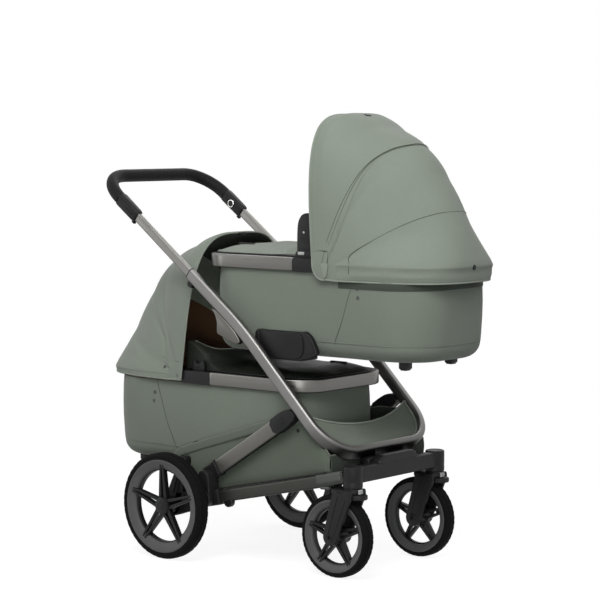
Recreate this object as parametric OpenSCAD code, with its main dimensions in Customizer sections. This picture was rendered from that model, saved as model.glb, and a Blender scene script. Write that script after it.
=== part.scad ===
/* [Wheels] */
// Outer diameter of a rear wheel
rear_wheel_d = 290; // [286:1:294]
// Width of a rear tyre
rear_tyre_w = 40; // [37:1:42]
// Distance from a main tube's middle to the middle plane of a rear wheel
wheel_out = 69; // [68:1:73]
// Outer diameter of a front wheel
front_wheel_d = 219; // [214:1:221]
// Width of a front tyre
front_tyre_w = 38; // [35:1:39]
// Distance between the two swivel axes
front_track = 358; // [354:1:362]
// Distance from the rear axle to the front axle
wheelbase = 512; // [509:1:515]
// Distance that a front axle trails behind its swivel axis
caster_trail = 51; // [49:1:53]

/* [Frame] */
// Distance from a cot's side to the middle of a main tube
frame_clear = 29; // [28.5:0.5:31]
// Depth of a main tube, seen from the side
tube_deep = 33; // [31:1:34]
// Width of a main tube, seen from the front
tube_wide = 21; // [20:0.5:22]
// Fall of the upper part of a main tube, in degrees
main_fall = 37; // [36.5:0.1:37.5]
// Length of the handle tube that shows above the main tube
handle_show = 250; // [240:1:260]
// Diameter of the padded grip
grip_d = 35; // [33:1:37]

/* [Cots] */
// Length of a cot along its rim
cot_l = 745; // [741:1:749]
// Width of a cot across its rim
cot_w = 380; // [377:1:382]
// Depth of a cot from its rim to its floor
cot_depth = 260; // [256:1:262]
// Height of the upper cot's rim above the ground
upper_rim_z = 830; // [828:1:834]
// Height of the lower cot's rim above the ground
lower_rim_z = 506; // [504:1:509]
// Distance of each cot's middle from the middle of the pram
cot_shift = 182; // [180:1:184]
// Height of the rim rail
rail_h = 36; // [34:1:38]

/* [Hoods] */
// Angle of the upper hood's open edge above the hem, in degrees
hood_open = 94; // [92:0.5:96]
// Angle of the lower hood's open edge above the hem, in degrees
lower_open = 97.5; // [96:0.5:98]
// Thickness of a hood's cloth with its lining
hood_cloth = 2.5; // [2.2:0.1:2.8]
// Height of the upper hood's hem below its hinge
hem_drop = 39; // [36:1:42]
// Height of the lower hood's hem below its hinge
lower_drop = 14; // [13:1:18]

/* [Hidden] */
$fn = 48;

// Colours
sage = [0.53, 0.57, 0.52];
silver = [0.62, 0.62, 0.61];
bronze = [0.44, 0.43, 0.42];
black = [0.13, 0.13, 0.14];
rubber = [0.09, 0.09, 0.09];
grey = [0.32, 0.32, 0.33];
pale = [0.72, 0.73, 0.72];

// Gaps: beside a sliding or turning piece, around a pin, and past a cut face
gap = 0.4;
pin_gap = 0.05;
past = 1;

// Places along the pram, measured from its middle, and heights above the ground
rear_axle_x = -220;
rear_r = rear_wheel_d / 2;
front_axle_x = rear_axle_x + wheelbase;
front_r = front_wheel_d / 2;
front_half = front_track / 2;
swivel_x = front_axle_x + caster_trail;
frame_half = cot_w / 2 + frame_clear;
rear_half = frame_half + wheel_out;
rear_track = 2 * rear_half;
axle_pt = [rear_axle_x, rear_r];

// Front loop: its cross part, its slope, the length of its sides and its corners
loop_pt = [307, 325];
loop_fall = 45;
loop_len = 370;
loop_corner = 105;
bend_r = 1000;
bend_end = loop_pt + loop_len * [-cos(loop_fall), sin(loop_fall)];
bend_mid = bend_end - bend_r * [sin(loop_fall), cos(loop_fall)];
bend_start = bend_mid + bend_r * [sin(main_fall), cos(main_fall)];
socket_len = 159;
joint_pt = bend_start + socket_len * [-cos(main_fall), sin(main_fall)];
loop_side = loop_len - loop_corner;

// Telescoping handle
tube_wall = 2.6;
bore_deep = tube_deep - 2 * tube_wall;
bore_wide = tube_wide - 2 * tube_wall;
inner_deep = bore_deep - 2 * gap;
inner_wide = bore_wide - 2 * gap;
inner_wall = 2;
handle_in = 55;
handle_travel = 100;
sleeve_len = 77;
sleeve_deep = 37;
sleeve_wide = 30;
grip_run = 181;
grip_reach = handle_show + grip_run;
grip_corner = 95;
button_d = 21;
button_pocket = 9;
button_rise = 2.5;
button_travel = 2;

// Rear legs and the hinge blocks at their upper ends
leg_foot_offset = [131, 108];
leg_foot = axle_pt + leg_foot_offset;
leg_top_offset = [65, -207];
leg_top = bend_end + leg_top_offset;
leg_deep = 38;
leg_wide = 20;
leg_way = (leg_top - leg_foot) / norm(leg_top - leg_foot);
hinge_len = 92;
hinge_end = leg_top + hinge_len * leg_way;
hinge_deep = 42;
hinge_wide = 30;
knee_len = 38;
knee_end = leg_foot - knee_len * leg_way;

// Lower side rails
rail_rear_offset = [146, 33];
rail_rear = axle_pt + rail_rear_offset;
rail_front_back = 12;
rail_front_z = 268;
rail_front = [swivel_x - rail_front_back, rail_front_z];
rail_rear_out = 7;
rail_rear_y = frame_half + rail_rear_out;
rail_front_out = 11;
rail_front_y = front_half + rail_front_out;
rail_deep = 34;
rail_wide = 18;
rail_run = [rail_front[0] - rail_rear[0], rail_rear_y - rail_front_y, rail_front[1] - rail_rear[1]];
rail_yaw = atan2(rail_run[1], rail_run[0]);
rail_pitch = atan2(rail_run[2], norm([rail_run[0], rail_run[1]]));
socket_deep = 44;
socket_wide = 28;
rail_socket = 62;

// Axle carriers, rear axle and brake pedal
rear_hub_half = 25.6;
carrier_t = 26;
carrier_out = rear_half - rear_hub_half - gap;
carrier_in = carrier_out - carrier_t;
knee_in = min(frame_half, carrier_in);
knee_out = max(frame_half, carrier_out);
carrier_hub_r = 32;
carrier_tip_offset = [38, 124];
carrier_tip = axle_pt + carrier_tip_offset;
carrier_tip_r = 12;
carrier_nose_offset = [112, 28];
carrier_nose = axle_pt + carrier_nose_offset;
carrier_nose_r = 24;
carrier_knee_offset = [112, 84];
carrier_knee = axle_pt + carrier_knee_offset;
carrier_knee_r = 20;
beam_deep = 50;
beam_wide = 32;
axle_d = 12;
pedal_y = 34;
pedal_pin_offset = [-32, 28];
pedal_pin = axle_pt + pedal_pin_offset;
pedal_pin_d = 8;
pedal_lug_r = 10;
pedal_lug_w = 8;
pedal_l = 48;
pedal_t = 9;

// Wheels
// Rear hubs stop short of the carriers and are closed outside by the ends of the axle
hub_r = 24;
hub_bore_d = axle_d + 2 * pin_gap;
ring_t = 3;
spoke_count = 5;
spoke_t = 12;
rib_start = 15;
rib_root = 7.5;
rib_tip = 6.5;
rib_w = 6.5;
tyre_round_share = 0.48;
ring_outer_share = 0.86;
ring_inner_share = 0.68;

// Casters
housing_d = 52;
housing_top = 298;
housing_foot = 241;
stem_d = 20;
collar_z = housing_foot - gap;
bridge_t = 17;
arm_t = 9;
arm_clear = 5;
arm_in = front_tyre_w / 2 + arm_clear;
arm_w = 34;
arm_tip_share = 0.42;
arm_back = 8;
arm_root = [swivel_x - arm_back, collar_z - bridge_t];
lock_w = 15;
lock_h = 12;
lock_deep = 7;
lock_rise = 2;
lock_travel = 2;
axle_end = 3;
front_axle_len = arm_in + arm_t + axle_end;
front_hub_half = arm_in - gap;

// Crossbar between the casters
cross_wide = 34;
cross_z = [252, 294];
cover_half = 85;
cover_top = 315;
cover_wide = 28;
mount_y = [28, 92];
mount_back = [44, 16];
mount_x = [swivel_x - mount_back[0], swivel_x - mount_back[1]];
mount_top = 318;

// Front flap
flap_t = 3.5;
flap_corner = loop_corner - tube_wide / 2 - gap;
flap_half = frame_half - tube_wide / 2 - gap;
flap_end = loop_len - tube_wide / 2 - gap;
hem_r = 503;
hem_mid = 285;

// Basket
basket_clear = 16;
basket_out = frame_half - basket_clear;
basket_cloth = 3.5;
basket_rear_offset = [90, 39];
basket_rear = axle_pt + basket_rear_offset;
basket_front_back = 57;
basket_front_z = [276.3, 320];
basket_front = [swivel_x - basket_front_back, basket_front_z[0]];
basket_front_top = [swivel_x - basket_front_back, basket_front_z[1]];
crest_back = 142;
crest_z = 398;
basket_crest = [swivel_x - crest_back, crest_z];
trough_inset = 27;
trough_out = basket_out - trough_inset;
trough_drop = 15;
trough_back = 210;
trough_z = 215;
trough_end = [swivel_x - trough_back, trough_z];
roll_front_offset = [-26, 8];
roll_front = leg_top + roll_front_offset;
roll_rear_offset = [-22, 138];
roll_rear = axle_pt + roll_rear_offset;
basket_tail_offset = [-34, 118];
basket_tail = axle_pt + basket_tail_offset;
roll_deep = 24;
roll_wide = 9;

// Cots, drawn with the head towards +X and the rim at height 0
foot_corner = 95;
head_corner = 130;
rim_t = 14;
tub_inset = 10;
foot_inset = 26;
tub_wall = 7;
tub_chamfer = 38;
lip_inset = 15.5;
lip_top = -9;
rim_end = -37;
paddle_x = -12;
paddle_w = 64;
upper_paddle_h = 118;
lower_paddle_h = 28;
paddle_t = 11;
paddle_y = cot_w / 2 - rim_t - paddle_t;
upper_apron_end = -8;
lower_apron_end = 70;
apron_foot = rim_t + past - cot_l / 2;
apron_half = cot_w / 2 - rim_t - paddle_t - past;
apron_power = 5;
apron_ring_shares = [1, 0.985, 0.93, 0.8, 0.55, 0.25];
crown_shares = [0, 0.25, 0.6, 0.85, 0.97, 1];
lip_start = 150;
apron_edge = 4;
apron_crown = 22;
upper_lip = 4;
lower_lip = 24;
lower_side_lip = 42;
apron_steps = 36;
bed_t = 34;
bed_crown = 9;
bed_gap = 6;
bed_foot = foot_inset - cot_l / 2 + tub_chamfer + tub_wall + bed_gap;
bed_head = cot_l / 2 - tub_chamfer - tub_wall - bed_gap;
bed_half = cot_w / 2 - tub_inset - tub_chamfer - tub_wall - bed_gap;
bed_ring_shares = [1, 1.03, 1, 0.85, 0.5, 0.2];
bed_rise_shares = [0.15, 0.5, 0.85, 1, 1, 1];

// Adapters that carry the cots
pill_in = cot_w / 2 - tub_inset + past;
pill_t = 18;
pill_out = pill_in + pill_t;
pill_l = 210;
pill_h = 79;
pill_x = -52;
pill_z = -229;
ledge_t = 10;
ledge_reach = 62;
ledge_in = cot_w / 2 - ledge_reach;
ledge_half = 55;
boss_d = 24;
lower_boss_run = 35;
lower_boss = leg_foot + lower_boss_run * leg_way;
upper_boss_offset = [4, -4];
upper_boss = bend_end + upper_boss_offset;

// Hoods: reach from the hinge at shares of the opening angle, and the arch's roundness
hood_x = 76;
hood_z = -16;
hood_reach = [[0, 337], [0.14, 322], [0.28, 314], [0.47, 321], [0.57, 337], [0.67, 347], [0.76, 349],
    [0.86, 355], [0.94, 376], [1, 391]];
seam_share = 0.67;
square_power = 3.2;
round_power = 2;
front_power = 3.6;
square_share = 0.25;
visor = 38;
lower_visor = 11;
upper_hood = [hood_open, visor, hem_drop];
lower_hood = [lower_open, lower_visor, lower_drop];
ear_hole_d = 16;
wall_r = 38.5;
hinge_block_end = hood_x + sqrt(pow(wall_r - gap, 2) - pow(hood_z, 2));
nest = 0.8;
hood_steps = 26;
hood_half = cot_w / 2 + hood_cloth + gap;
front_grow = hood_cloth + nest;
rear_shares = [-1, -0.5, 0, 0.06, 0.14, 0.21, 0.28, 0.38, 0.47, 0.52, 0.57, 0.62, seam_share];
front_shares = [seam_share, 0.72, 0.76, 0.81, 0.86, 0.9, 0.94, 1, 1.5, 2];

// Flat oval with its long side along X
module oval(deep, wide) {
    square([deep - wide, wide], center = true);
    for (s = [-1, 1])
        translate([s * (deep - wide) / 2, 0]) circle(d = wide);
}

// Oval bar along X from one station to another, its long side upright
module run(from, to, deep, wide) {
    translate([from, 0, 0]) rotate([0, 90, 0]) linear_extrude(to - from) oval(deep, wide);
}

// Oval bar between two points of the side view
module bar(p, q, deep, wide) {
    translate([p[0], 0, p[1]])
        rotate([0, -atan2(q[1] - p[1], q[0] - p[0]), 0])
            run(0, norm(q - p), deep, wide);
}

// Flat plate with round ends between two points of the side view
module link(p, q, r, from, to) {
    translate([0, to, 0]) rotate([90, 0, 0]) linear_extrude(to - from) {
        translate(p) circle(r = r[0]);
        translate(q) circle(r = r[1]);
        polygon(let (w = (q - p) / norm(q - p), n = [-w[1], w[0]])
            [p + r[0] * n, q + r[1] * n, q - r[1] * n, p - r[0] * n]);
    }
}

// Plate of the side view on one side of the pram, from one distance to another
module beside(side, from, to) {
    translate([0, side > 0 ? to : -from, 0]) rotate([90, 0, 0]) linear_extrude(to - from) children();
}

// Frames that lie along the loop and along the upper part of the tubes, X pointing down the slope
module loop_frame() {
    translate([bend_end[0], 0, bend_end[1]]) rotate([0, loop_fall, 0]) children();
}
module joint_frame() {
    translate([joint_pt[0], 0, joint_pt[1]]) rotate([0, main_fall, 0]) children();
}

// Side tube in three lengths, straight, bent and bored, that meet end to end
module main_tube(side) {
    color(bronze) translate([0, side * frame_half, 0]) {
        loop_frame() run(pin_gap, loop_side, tube_deep, tube_wide);
        translate([bend_mid[0], 0, bend_mid[1]])
            rotate([90, 0, 0]) rotate(90 - loop_fall)
                rotate_extrude(angle = loop_fall - main_fall, $fn = 360)
                    translate([bend_r, 0]) oval(tube_deep, tube_wide);
        joint_frame() difference() {
            run(0, socket_len - pin_gap, tube_deep, tube_wide);
            run(-past, handle_in + handle_travel + past, bore_deep, bore_wide);
        }
    }
}

module front_loop() {
    color(bronze) loop_frame() {
        for (s = [-1, 1])
            translate([loop_side, s * (frame_half - loop_corner), 0])
                rotate(s > 0 ? 0 : -90)
                    rotate_extrude(angle = 90)
                        translate([loop_corner, 0]) rotate(90) oval(tube_deep, tube_wide);
        translate([loop_len, 0, 0]) rotate([90, 0, 0])
            linear_extrude(2 * (frame_half - loop_corner), center = true)
                rotate(90) oval(tube_deep, tube_wide);
    }
}

// Cloth panel stretched inside the loop, its upper hem cut to a shallow curve
module front_flap() {
    color(sage) loop_frame() linear_extrude(flap_t, center = true) difference() {
        union() {
            translate([0, -flap_half]) square([flap_end - flap_corner, 2 * flap_half]);
            translate([0, flap_corner - flap_half]) square([flap_end, 2 * (flap_half - flap_corner)]);
            for (s = [-1, 1])
                translate([flap_end - flap_corner, s * (flap_half - flap_corner)]) circle(r = flap_corner);
        }
        translate([hem_mid - hem_r, 0]) circle(r = hem_r, $fn = 180);
    }
}

// Beam between the casters, with a bored housing at each end and two saddles under the loop
module crossbar() {
    color(black) difference() {
        union() {
            translate([swivel_x - cross_wide / 2, -front_half, cross_z[0]])
                cube([cross_wide, front_track, cross_z[1] - cross_z[0]]);
            for (s = [-1, 1])
                translate([swivel_x, s * front_half, housing_foot])
                    cylinder(d = housing_d, h = housing_top - housing_foot);
            for (s = [-1, 1])
                translate([mount_x[0], s > 0 ? mount_y[0] : -mount_y[1], cross_z[0]])
                    cube([mount_x[1] - mount_x[0], mount_y[1] - mount_y[0], mount_top - cross_z[0]]);
        }
        for (s = [-1, 1])
            translate([swivel_x, s * front_half, housing_foot - past])
                cylinder(d = stem_d + 2 * pin_gap, h = cross_z[1] - housing_foot);
        loop_frame() translate([loop_len, 0, 0]) rotate([90, 0, 0])
            linear_extrude(front_track, center = true)
                rotate(90) oval(tube_deep + gap, tube_wide + gap);
        loop_frame() translate([0, -front_half, 0]) cube([loop_len, front_track, tube_deep]);
    }
}

module crossbar_cover() {
    color(black) translate([swivel_x, 0, cross_z[1]]) intersection() {
        translate([-cover_wide / 2, -cover_half, 0])
            cube([cover_wide, 2 * cover_half, cover_top - cross_z[1]]);
        rotate([0, 90, 0]) linear_extrude(cover_wide, center = true)
            rotate(90) oval(2 * cover_half, 2 * (cover_top - cross_z[1]));
    }
}

module leg(side) {
    color(silver) translate([0, side * frame_half, 0]) bar(leg_foot, leg_top, leg_deep, leg_wide);
}

// Hinge block at the top of a leg, saddled on the main tube
module leg_hinge(side) {
    color(black) translate([0, side * frame_half, 0]) difference() {
        bar(leg_top, hinge_end, hinge_deep, hinge_wide);
        loop_frame() run(0, loop_side, tube_deep + gap, tube_wide + gap);
    }
}

// Puts a bar along a lower rail, starting at the rail's rear end
module rail_frame(side) {
    translate([rail_rear[0], side * rail_rear_y, rail_rear[1]])
        rotate([0, -rail_pitch, -side * rail_yaw]) children();
}

module rail(side) {
    color(bronze) difference() {
        rail_frame(side) run(0, norm(rail_run), rail_deep, rail_wide);
        translate([swivel_x, side * front_half, 0]) cylinder(d = housing_d + gap, h = housing_top);
        translate([swivel_x - cross_wide / 2 - gap / 2, -front_half, 0])
            cube([cross_wide, front_track, housing_top]);
    }
}

// Moulding that joins the axle, a leg and a lower rail
module carrier(side) {
    color(black) difference() {
        union() {
            for (end = [[carrier_tip, carrier_tip_r], [carrier_nose, carrier_nose_r]])
                link(axle_pt, end[0], [carrier_hub_r, end[1]],
                    side > 0 ? carrier_in : -carrier_out, side > 0 ? carrier_out : -carrier_in);
            link(carrier_nose, carrier_knee, [carrier_nose_r, carrier_knee_r],
                side > 0 ? knee_in : -knee_out, side > 0 ? knee_out : -knee_in);
            translate([0, side * frame_half, 0]) bar(knee_end, leg_foot, hinge_deep, hinge_wide);
            rail_frame(side) run(-rail_socket, 0, socket_deep, socket_wide);
        }
        translate([rear_axle_x, -rear_half, rear_r]) rotate([-90, 0, 0])
            cylinder(d = axle_d + gap, h = rear_track);
    }
}

// Beam between the carriers, with the axle stubs and the two lugs of the pedal
module rear_axle() {
    color(black) difference() {
        union() {
            translate([rear_axle_x, 0, rear_r]) rotate([90, 0, 0])
                linear_extrude(2 * (carrier_in - gap), center = true) rotate(90) oval(beam_deep, beam_wide);
            translate([rear_axle_x, 0, rear_r]) rotate([90, 0, 0])
                cylinder(d = axle_d, h = rear_track, center = true);
            for (s = [-1, 1])
                link([rear_axle_x, rear_r + pedal_lug_r], pedal_pin, [pedal_lug_r, pedal_lug_r],
                    s > 0 ? pedal_y : -pedal_y - pedal_lug_w, s > 0 ? pedal_y + pedal_lug_w : -pedal_y);
        }
        translate([pedal_pin[0], 0, pedal_pin[1]]) rotate([90, 0, 0])
            cylinder(d = pedal_pin_d + 2 * pin_gap, h = rear_track, center = true);
    }
}

module brake_pedal() {
    color(black) {
        translate([pedal_pin[0], 0, pedal_pin[1]]) rotate([90, 0, 0])
            cylinder(d = pedal_pin_d, h = 2 * (pedal_y + pedal_lug_w), center = true);
        link(pedal_pin, pedal_pin - [pedal_l, 0], [pedal_t / 2, pedal_t / 2], gap - pedal_y, pedal_y - gap);
    }
}

// Side view of the basket's walls above the rails, and of the trough that hangs between them
module basket_walls() {
    polygon([basket_rear, basket_front, basket_front_top, basket_crest,
        roll_front, roll_rear, basket_tail]);
}
module basket_trough() {
    polygon([basket_rear + [past, basket_cloth], basket_rear + [past, -trough_drop], trough_end,
        basket_front + [-past, 0], basket_front + [-past, basket_cloth]]);
}

// Space between the walls, open at the top and at the rear
module basket_hollow() {
    polygon([basket_rear + [0, basket_cloth], basket_front + [-basket_cloth, basket_cloth],
        basket_front_top + [-basket_cloth, basket_cloth], basket_crest + [0, cot_depth],
        basket_tail + [-past, cot_depth], basket_tail - [past, cot_depth],
        basket_rear - [0, cot_depth]]);
}

// Solid of the side view, as wide as twice a half width
module across(half) {
    rotate([90, 0, 0]) linear_extrude(2 * half, center = true) children();
}

// Open cloth tray below the lower cot, with a padded roll along each upper edge
module basket() {
    color(sage) difference() {
        union() {
            across(basket_out) basket_walls();
            across(trough_out) basket_trough();
            for (s = [-1, 1])
                translate([0, s * (basket_out - basket_cloth + roll_wide / 2 + gap), 0])
                    bar(roll_rear, roll_front, roll_deep, roll_wide);
        }
        across(basket_out - basket_cloth) basket_hollow();
        translate([0, 0, basket_cloth]) across(trough_out - basket_cloth)
            translate([basket_cloth, 0]) basket_trough();
        translate([lower_boss[0], 0, lower_boss[1]]) across(rear_half) circle(d = boss_d + 2 * past);
    }
}

// Round-ended plate beside a cot, with a ledge under the cot's floor and a boss towards the frame
module adapter(side, at_x, rim_z, boss, boss_out, head) {
    mid = [at_x + head * pill_x, rim_z + pill_z];
    color(black) {
        translate([mid[0], 0, mid[1]]) beside(side, pill_in, pill_out) oval(pill_l, pill_h);
        translate([mid[0] - ledge_half, side > 0 ? ledge_in : -pill_out, rim_z - cot_depth - ledge_t - gap])
            cube([2 * ledge_half, pill_out - ledge_in, ledge_t]);
        link(mid, boss, [boss_d / 2, boss_d / 2],
            side > 0 ? pill_in : -pill_out, side > 0 ? pill_out : -pill_in);
        translate([boss[0], 0, boss[1]]) beside(side, pill_in, boss_out) circle(d = boss_d);
    }
}

module handle_tube(side) {
    color(silver) translate([0, side * frame_half, 0]) joint_frame() difference() {
        run(-handle_show, handle_in, inner_deep, inner_wide);
        run(-handle_show - past, handle_in + past, inner_deep - 2 * inner_wall, inner_wide - 2 * inner_wall);
    }
}

// Puts a round piece on the inner face of a sleeve, Z pointing out of the face
module sleeve_face(side) {
    translate([0, side * frame_half, 0]) joint_frame()
        translate([-handle_show - sleeve_len / 2, -side * (sleeve_wide / 2 - button_pocket), 0])
            rotate([side * 90, 0, 0]) children();
}

module handle_sleeve(side) {
    color(black) difference() {
        translate([0, side * frame_half, 0]) joint_frame()
            run(-handle_show - sleeve_len, -handle_show, sleeve_deep, sleeve_wide);
        sleeve_face(side) cylinder(d = button_d + 2 * gap, h = button_pocket + past);
    }
}

module handle_button(side) {
    color(grey) sleeve_face(side) translate([0, 0, button_travel + gap])
        cylinder(d = button_d, h = button_pocket + button_rise - button_travel - gap);
}

module handle_grip() {
    color(black) joint_frame() {
        for (s = [-1, 1]) {
            translate([grip_corner - grip_reach, s * frame_half, 0]) rotate([0, 90, 0])
                cylinder(d = grip_d, h = grip_reach - grip_corner - handle_show - sleeve_len);
            translate([grip_corner - grip_reach, s * (frame_half - grip_corner), 0])
                rotate(s > 0 ? 90 : 180) rotate_extrude(angle = 90)
                    translate([grip_corner, 0]) circle(d = grip_d);
        }
        translate([-grip_reach, 0, 0]) rotate([90, 0, 0])
            cylinder(d = grip_d, h = 2 * (frame_half - grip_corner), center = true);
    }
}

// Puts a wheel's axis, drawn along Z, at its axle
module rear_hub(side) {
    translate([rear_axle_x, side * rear_half, rear_r]) rotate([side * -90, 0, 0]) children();
}
module front_hub(side) {
    translate([front_axle_x, side * front_half, front_r]) rotate([side * -90, 0, 0]) children();
}

// Tyre with a rounded tread and a flat inner face
module tyre(r, w) {
    inner = ring_outer_share * r;
    round_r = tyre_round_share * (r - inner);
    color(rubber) rotate_extrude($fn = 96) {
        translate([inner, -w / 2]) square([r - inner - round_r, w]);
        translate([inner, round_r - w / 2]) square([r - inner, w - 2 * round_r]);
        for (s = [-1, 1])
            translate([r - round_r, s * (w / 2 - round_r)]) circle(r = round_r);
    }
}

// Dished ring that carries the tyre
module ring(r, w) {
    outer = ring_outer_share * r - gap;
    inner = ring_inner_share * r;
    color(grey) rotate_extrude($fn = 96) {
        translate([outer - ring_t, -w / 2]) square([ring_t, w]);
        for (s = [-1, 1])
            translate([inner, s > 0 ? w / 2 - ring_t : -w / 2]) square([outer - inner, ring_t]);
        translate([inner, -w / 2]) square([ring_t, w]);
    }
}

// Hub with its bore, and five spokes of two ribs each that reach the ring
module spider(r, hub_half) {
    rib_out = rib_tip + rib_w;
    tip = sqrt(pow(ring_inner_share * r - gap / 2, 2) - pow(rib_out, 2));
    color(black) difference() {
        union() {
            cylinder(r = hub_r, h = 2 * hub_half, center = true);
            for (i = [0 : spoke_count - 1], s = [-1, 1])
                rotate(90 + i * 360 / spoke_count) linear_extrude(spoke_t, center = true)
                    polygon([[rib_start, s * rib_root], [tip, s * rib_tip], [tip, s * rib_out],
                        [rib_start, s * (rib_root + rib_w)]]);
        }
        cylinder(d = hub_bore_d, h = 2 * rear_track, center = true);
    }
}

// Caster: stem, collar, bridge over the wheel, two trailing arms and the axle
module fork(side) {
    y = side * front_half;
    color(black) difference() {
        union() {
            translate([swivel_x, y, collar_z - bridge_t]) {
                cylinder(d = housing_d, h = bridge_t);
                cylinder(d = stem_d, h = cross_z[1] - housing_foot + bridge_t - 2 * past);
            }
            translate([arm_root[0], y, collar_z - bridge_t / 2])
                cube([arm_w, 2 * (arm_in + arm_t), bridge_t], center = true);
            for (s = [-1, 1])
                link(arm_root, [front_axle_x, front_r], [arm_w / 2, arm_tip_share * arm_w],
                    y + (s > 0 ? arm_in : -arm_in - arm_t), y + (s > 0 ? arm_in + arm_t : -arm_in));
            translate([front_axle_x, y, front_r]) rotate([90, 0, 0])
                cylinder(d = axle_d, h = 2 * front_axle_len, center = true);
        }
        lock_frame(side) translate([0, 0, -lock_deep])
            linear_extrude(2 * lock_deep) square([lock_h + 2 * gap, lock_w + 2 * gap], center = true);
    }
}

// Puts a piece on the front of a collar, Z pointing forwards
module lock_frame(side) {
    translate([swivel_x + housing_d / 2, side * front_half, collar_z - bridge_t / 2])
        rotate([0, 90, 0]) children();
}

module fork_button(side) {
    color(pale) lock_frame(side) translate([0, 0, lock_travel + gap - lock_deep])
        linear_extrude(lock_deep + lock_rise - lock_travel - gap) square([lock_h, lock_w], center = true);
}

// Puts a cot's pieces, drawn head forwards, at the upper or the lower place
module upper_place() {
    translate([cot_shift, 0, upper_rim_z]) children();
}
module lower_place() {
    translate([-cot_shift, 0, lower_rim_z]) rotate(180) children();
}

// Plan of a cot between a foot end and a head end, its corners rounded apart
module plan(foot, head, half, foot_r, head_r) {
    translate([foot + foot_r, -half]) square([head - head_r - foot - foot_r, 2 * half]);
    translate([foot, foot_r - half]) square([foot_r, 2 * (half - foot_r)]);
    translate([head - head_r, head_r - half]) square([head_r, 2 * (half - head_r)]);
    for (s = [-1, 1]) {
        translate([foot + foot_r, s * (half - foot_r)]) circle(r = foot_r);
        translate([head - head_r, s * (half - head_r)]) circle(r = head_r);
    }
}

// Plan of the tub, drawn in all round by a distance
module tub_plan(inset) {
    plan(foot_inset - cot_l / 2 + inset, cot_l / 2 - inset, cot_w / 2 - tub_inset - inset,
        foot_corner - inset, head_corner - inset);
}

// Solid of the tub below a height, with its floor edge sloped all round
module tub_solid(inset, floor_z, top) {
    translate([0, 0, floor_z + tub_chamfer]) linear_extrude(top - floor_z - tub_chamfer) tub_plan(inset);
    hull() {
        translate([0, 0, floor_z + tub_chamfer]) linear_extrude(gap, $fn = 32) tub_plan(inset);
        translate([0, 0, floor_z]) linear_extrude(gap, $fn = 32) tub_plan(inset + tub_chamfer);
    }
}

module tub() {
    color(sage) {
        difference() {
            tub_solid(0, -cot_depth, -rail_h - gap);
            tub_solid(tub_wall, tub_wall - cot_depth, 0);
        }
        translate([0, 0, -rail_h - past]) linear_extrude(lip_top + rail_h + past) difference() {
            tub_plan(lip_inset - tub_inset);
            tub_plan(lip_inset - tub_inset + tub_wall);
        }
    }
}

// Plan of the rim rail's outside, drawn in all round by a distance
module rim_plan(inset) {
    plan(inset - cot_l / 2, cot_l / 2 - inset, cot_w / 2 - inset, foot_corner - inset, head_corner - inset);
}

// Rail around the foot end and along both sides
module rim() {
    color(silver) translate([0, 0, -rail_h]) linear_extrude(rail_h) difference() {
        rim_plan(0);
        rim_plan(rim_t);
        translate([rim_end, -cot_w]) square(2 * cot_w);
    }
}

// On each side, the block that carries on from the rail, the upright paddle and the hood's pin
module hinges(paddle_h) {
    corner = min(paddle_w, paddle_h) / 2;
    color(black) for (s = [-1, 1]) {
        translate([rim_end, s > 0 ? cot_w / 2 - rim_t : -cot_w / 2, -rail_h])
            cube([hinge_block_end - rim_end, rim_t, rail_h]);
        beside(s, paddle_y, cot_w / 2 - rim_t) {
            translate([paddle_x, lip_top + past]) square([paddle_w, paddle_h - corner - lip_top - past]);
            hull() for (x = [paddle_x + corner, paddle_x + paddle_w - corner])
                translate([x, paddle_h - corner]) circle(r = corner);
        }
        translate([hood_x, 0, hood_z])
            beside(s, cot_w / 2 - rim_t, hood_half + nest + hood_cloth / 2) circle(d = ear_hole_d);
    }
}

// Closed cushion from nested rings: each ring is a share of the outline, at its own height
module cushion(outline, base, shares, heights, lift) {
    count = len(outline);
    rings = len(shares);
    mid = [for (axis = [0, 1]) (min([for (p = outline) p[axis]]) + max([for (p = outline) p[axis]])) / 2];
    top = [for (k = [0 : rings - 1], p = outline)
        let (q = mid + shares[k] * (p - mid)) [q[0], q[1], heights[k] + lift(q)]];
    floor_ring = [for (p = outline) [p[0], p[1], base]];
    skins = [for (k = [0 : rings - 1], i = [0 : count - 1])
        let (a = k * count + i, b = k * count + (i + 1) % count) [a, b, b + count, a + count]];
    polyhedron(
        points = concat(floor_ring, top),
        faces = concat(
            [[for (i = [count - 1 : -1 : 0]) i]],
            [for (f = skins) each [[f[0], f[1], f[2]], [f[0], f[2], f[3]]]],
            [[for (i = [0 : count - 1]) rings * count + i]]
        )
    );
}

// Points of a plan between two ends, with superellipse corners
function plan_points(foot, head, half, power, count) = [for (i = [0 : count - 1])
    let (a = 360 * i / count, c = cos(a), s = sin(a))
        [(foot + head) / 2 + (head - foot) / 2 * sign(c) * pow(abs(c), 2 / power),
            half * sign(s) * pow(abs(s), 2 / power)]];

// Share of the way from 0 to 1, eased at both ends
function eased(x) = let (u = max(0, min(1, x))) u * u * (3 - 2 * u);

// Cover over the foot end, crowned, with its edge at the hood raised as a lip
module apron(end, lip, side_lip) {
    color(sage) cushion(
        plan_points(apron_foot, end, apron_half, apron_power, apron_steps),
        lip_top + gap, apron_ring_shares,
        [for (c = crown_shares) apron_edge - past + c * apron_crown],
        function (q) (lip + side_lip * pow(q[1] / apron_half, 2))
            * eased((q[0] - end + lip_start) / lip_start)
    );
}

module mattress() {
    color("white") cushion(
        plan_points(bed_foot, bed_head, bed_half, apron_power, apron_steps),
        tub_wall + gap - cot_depth, bed_ring_shares,
        [for (k = [0 : len(bed_ring_shares) - 1])
            tub_wall + gap - cot_depth + bed_rise_shares[k] * bed_t + crown_shares[k] * bed_crown],
        function (q) 0
    );
}

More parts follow.
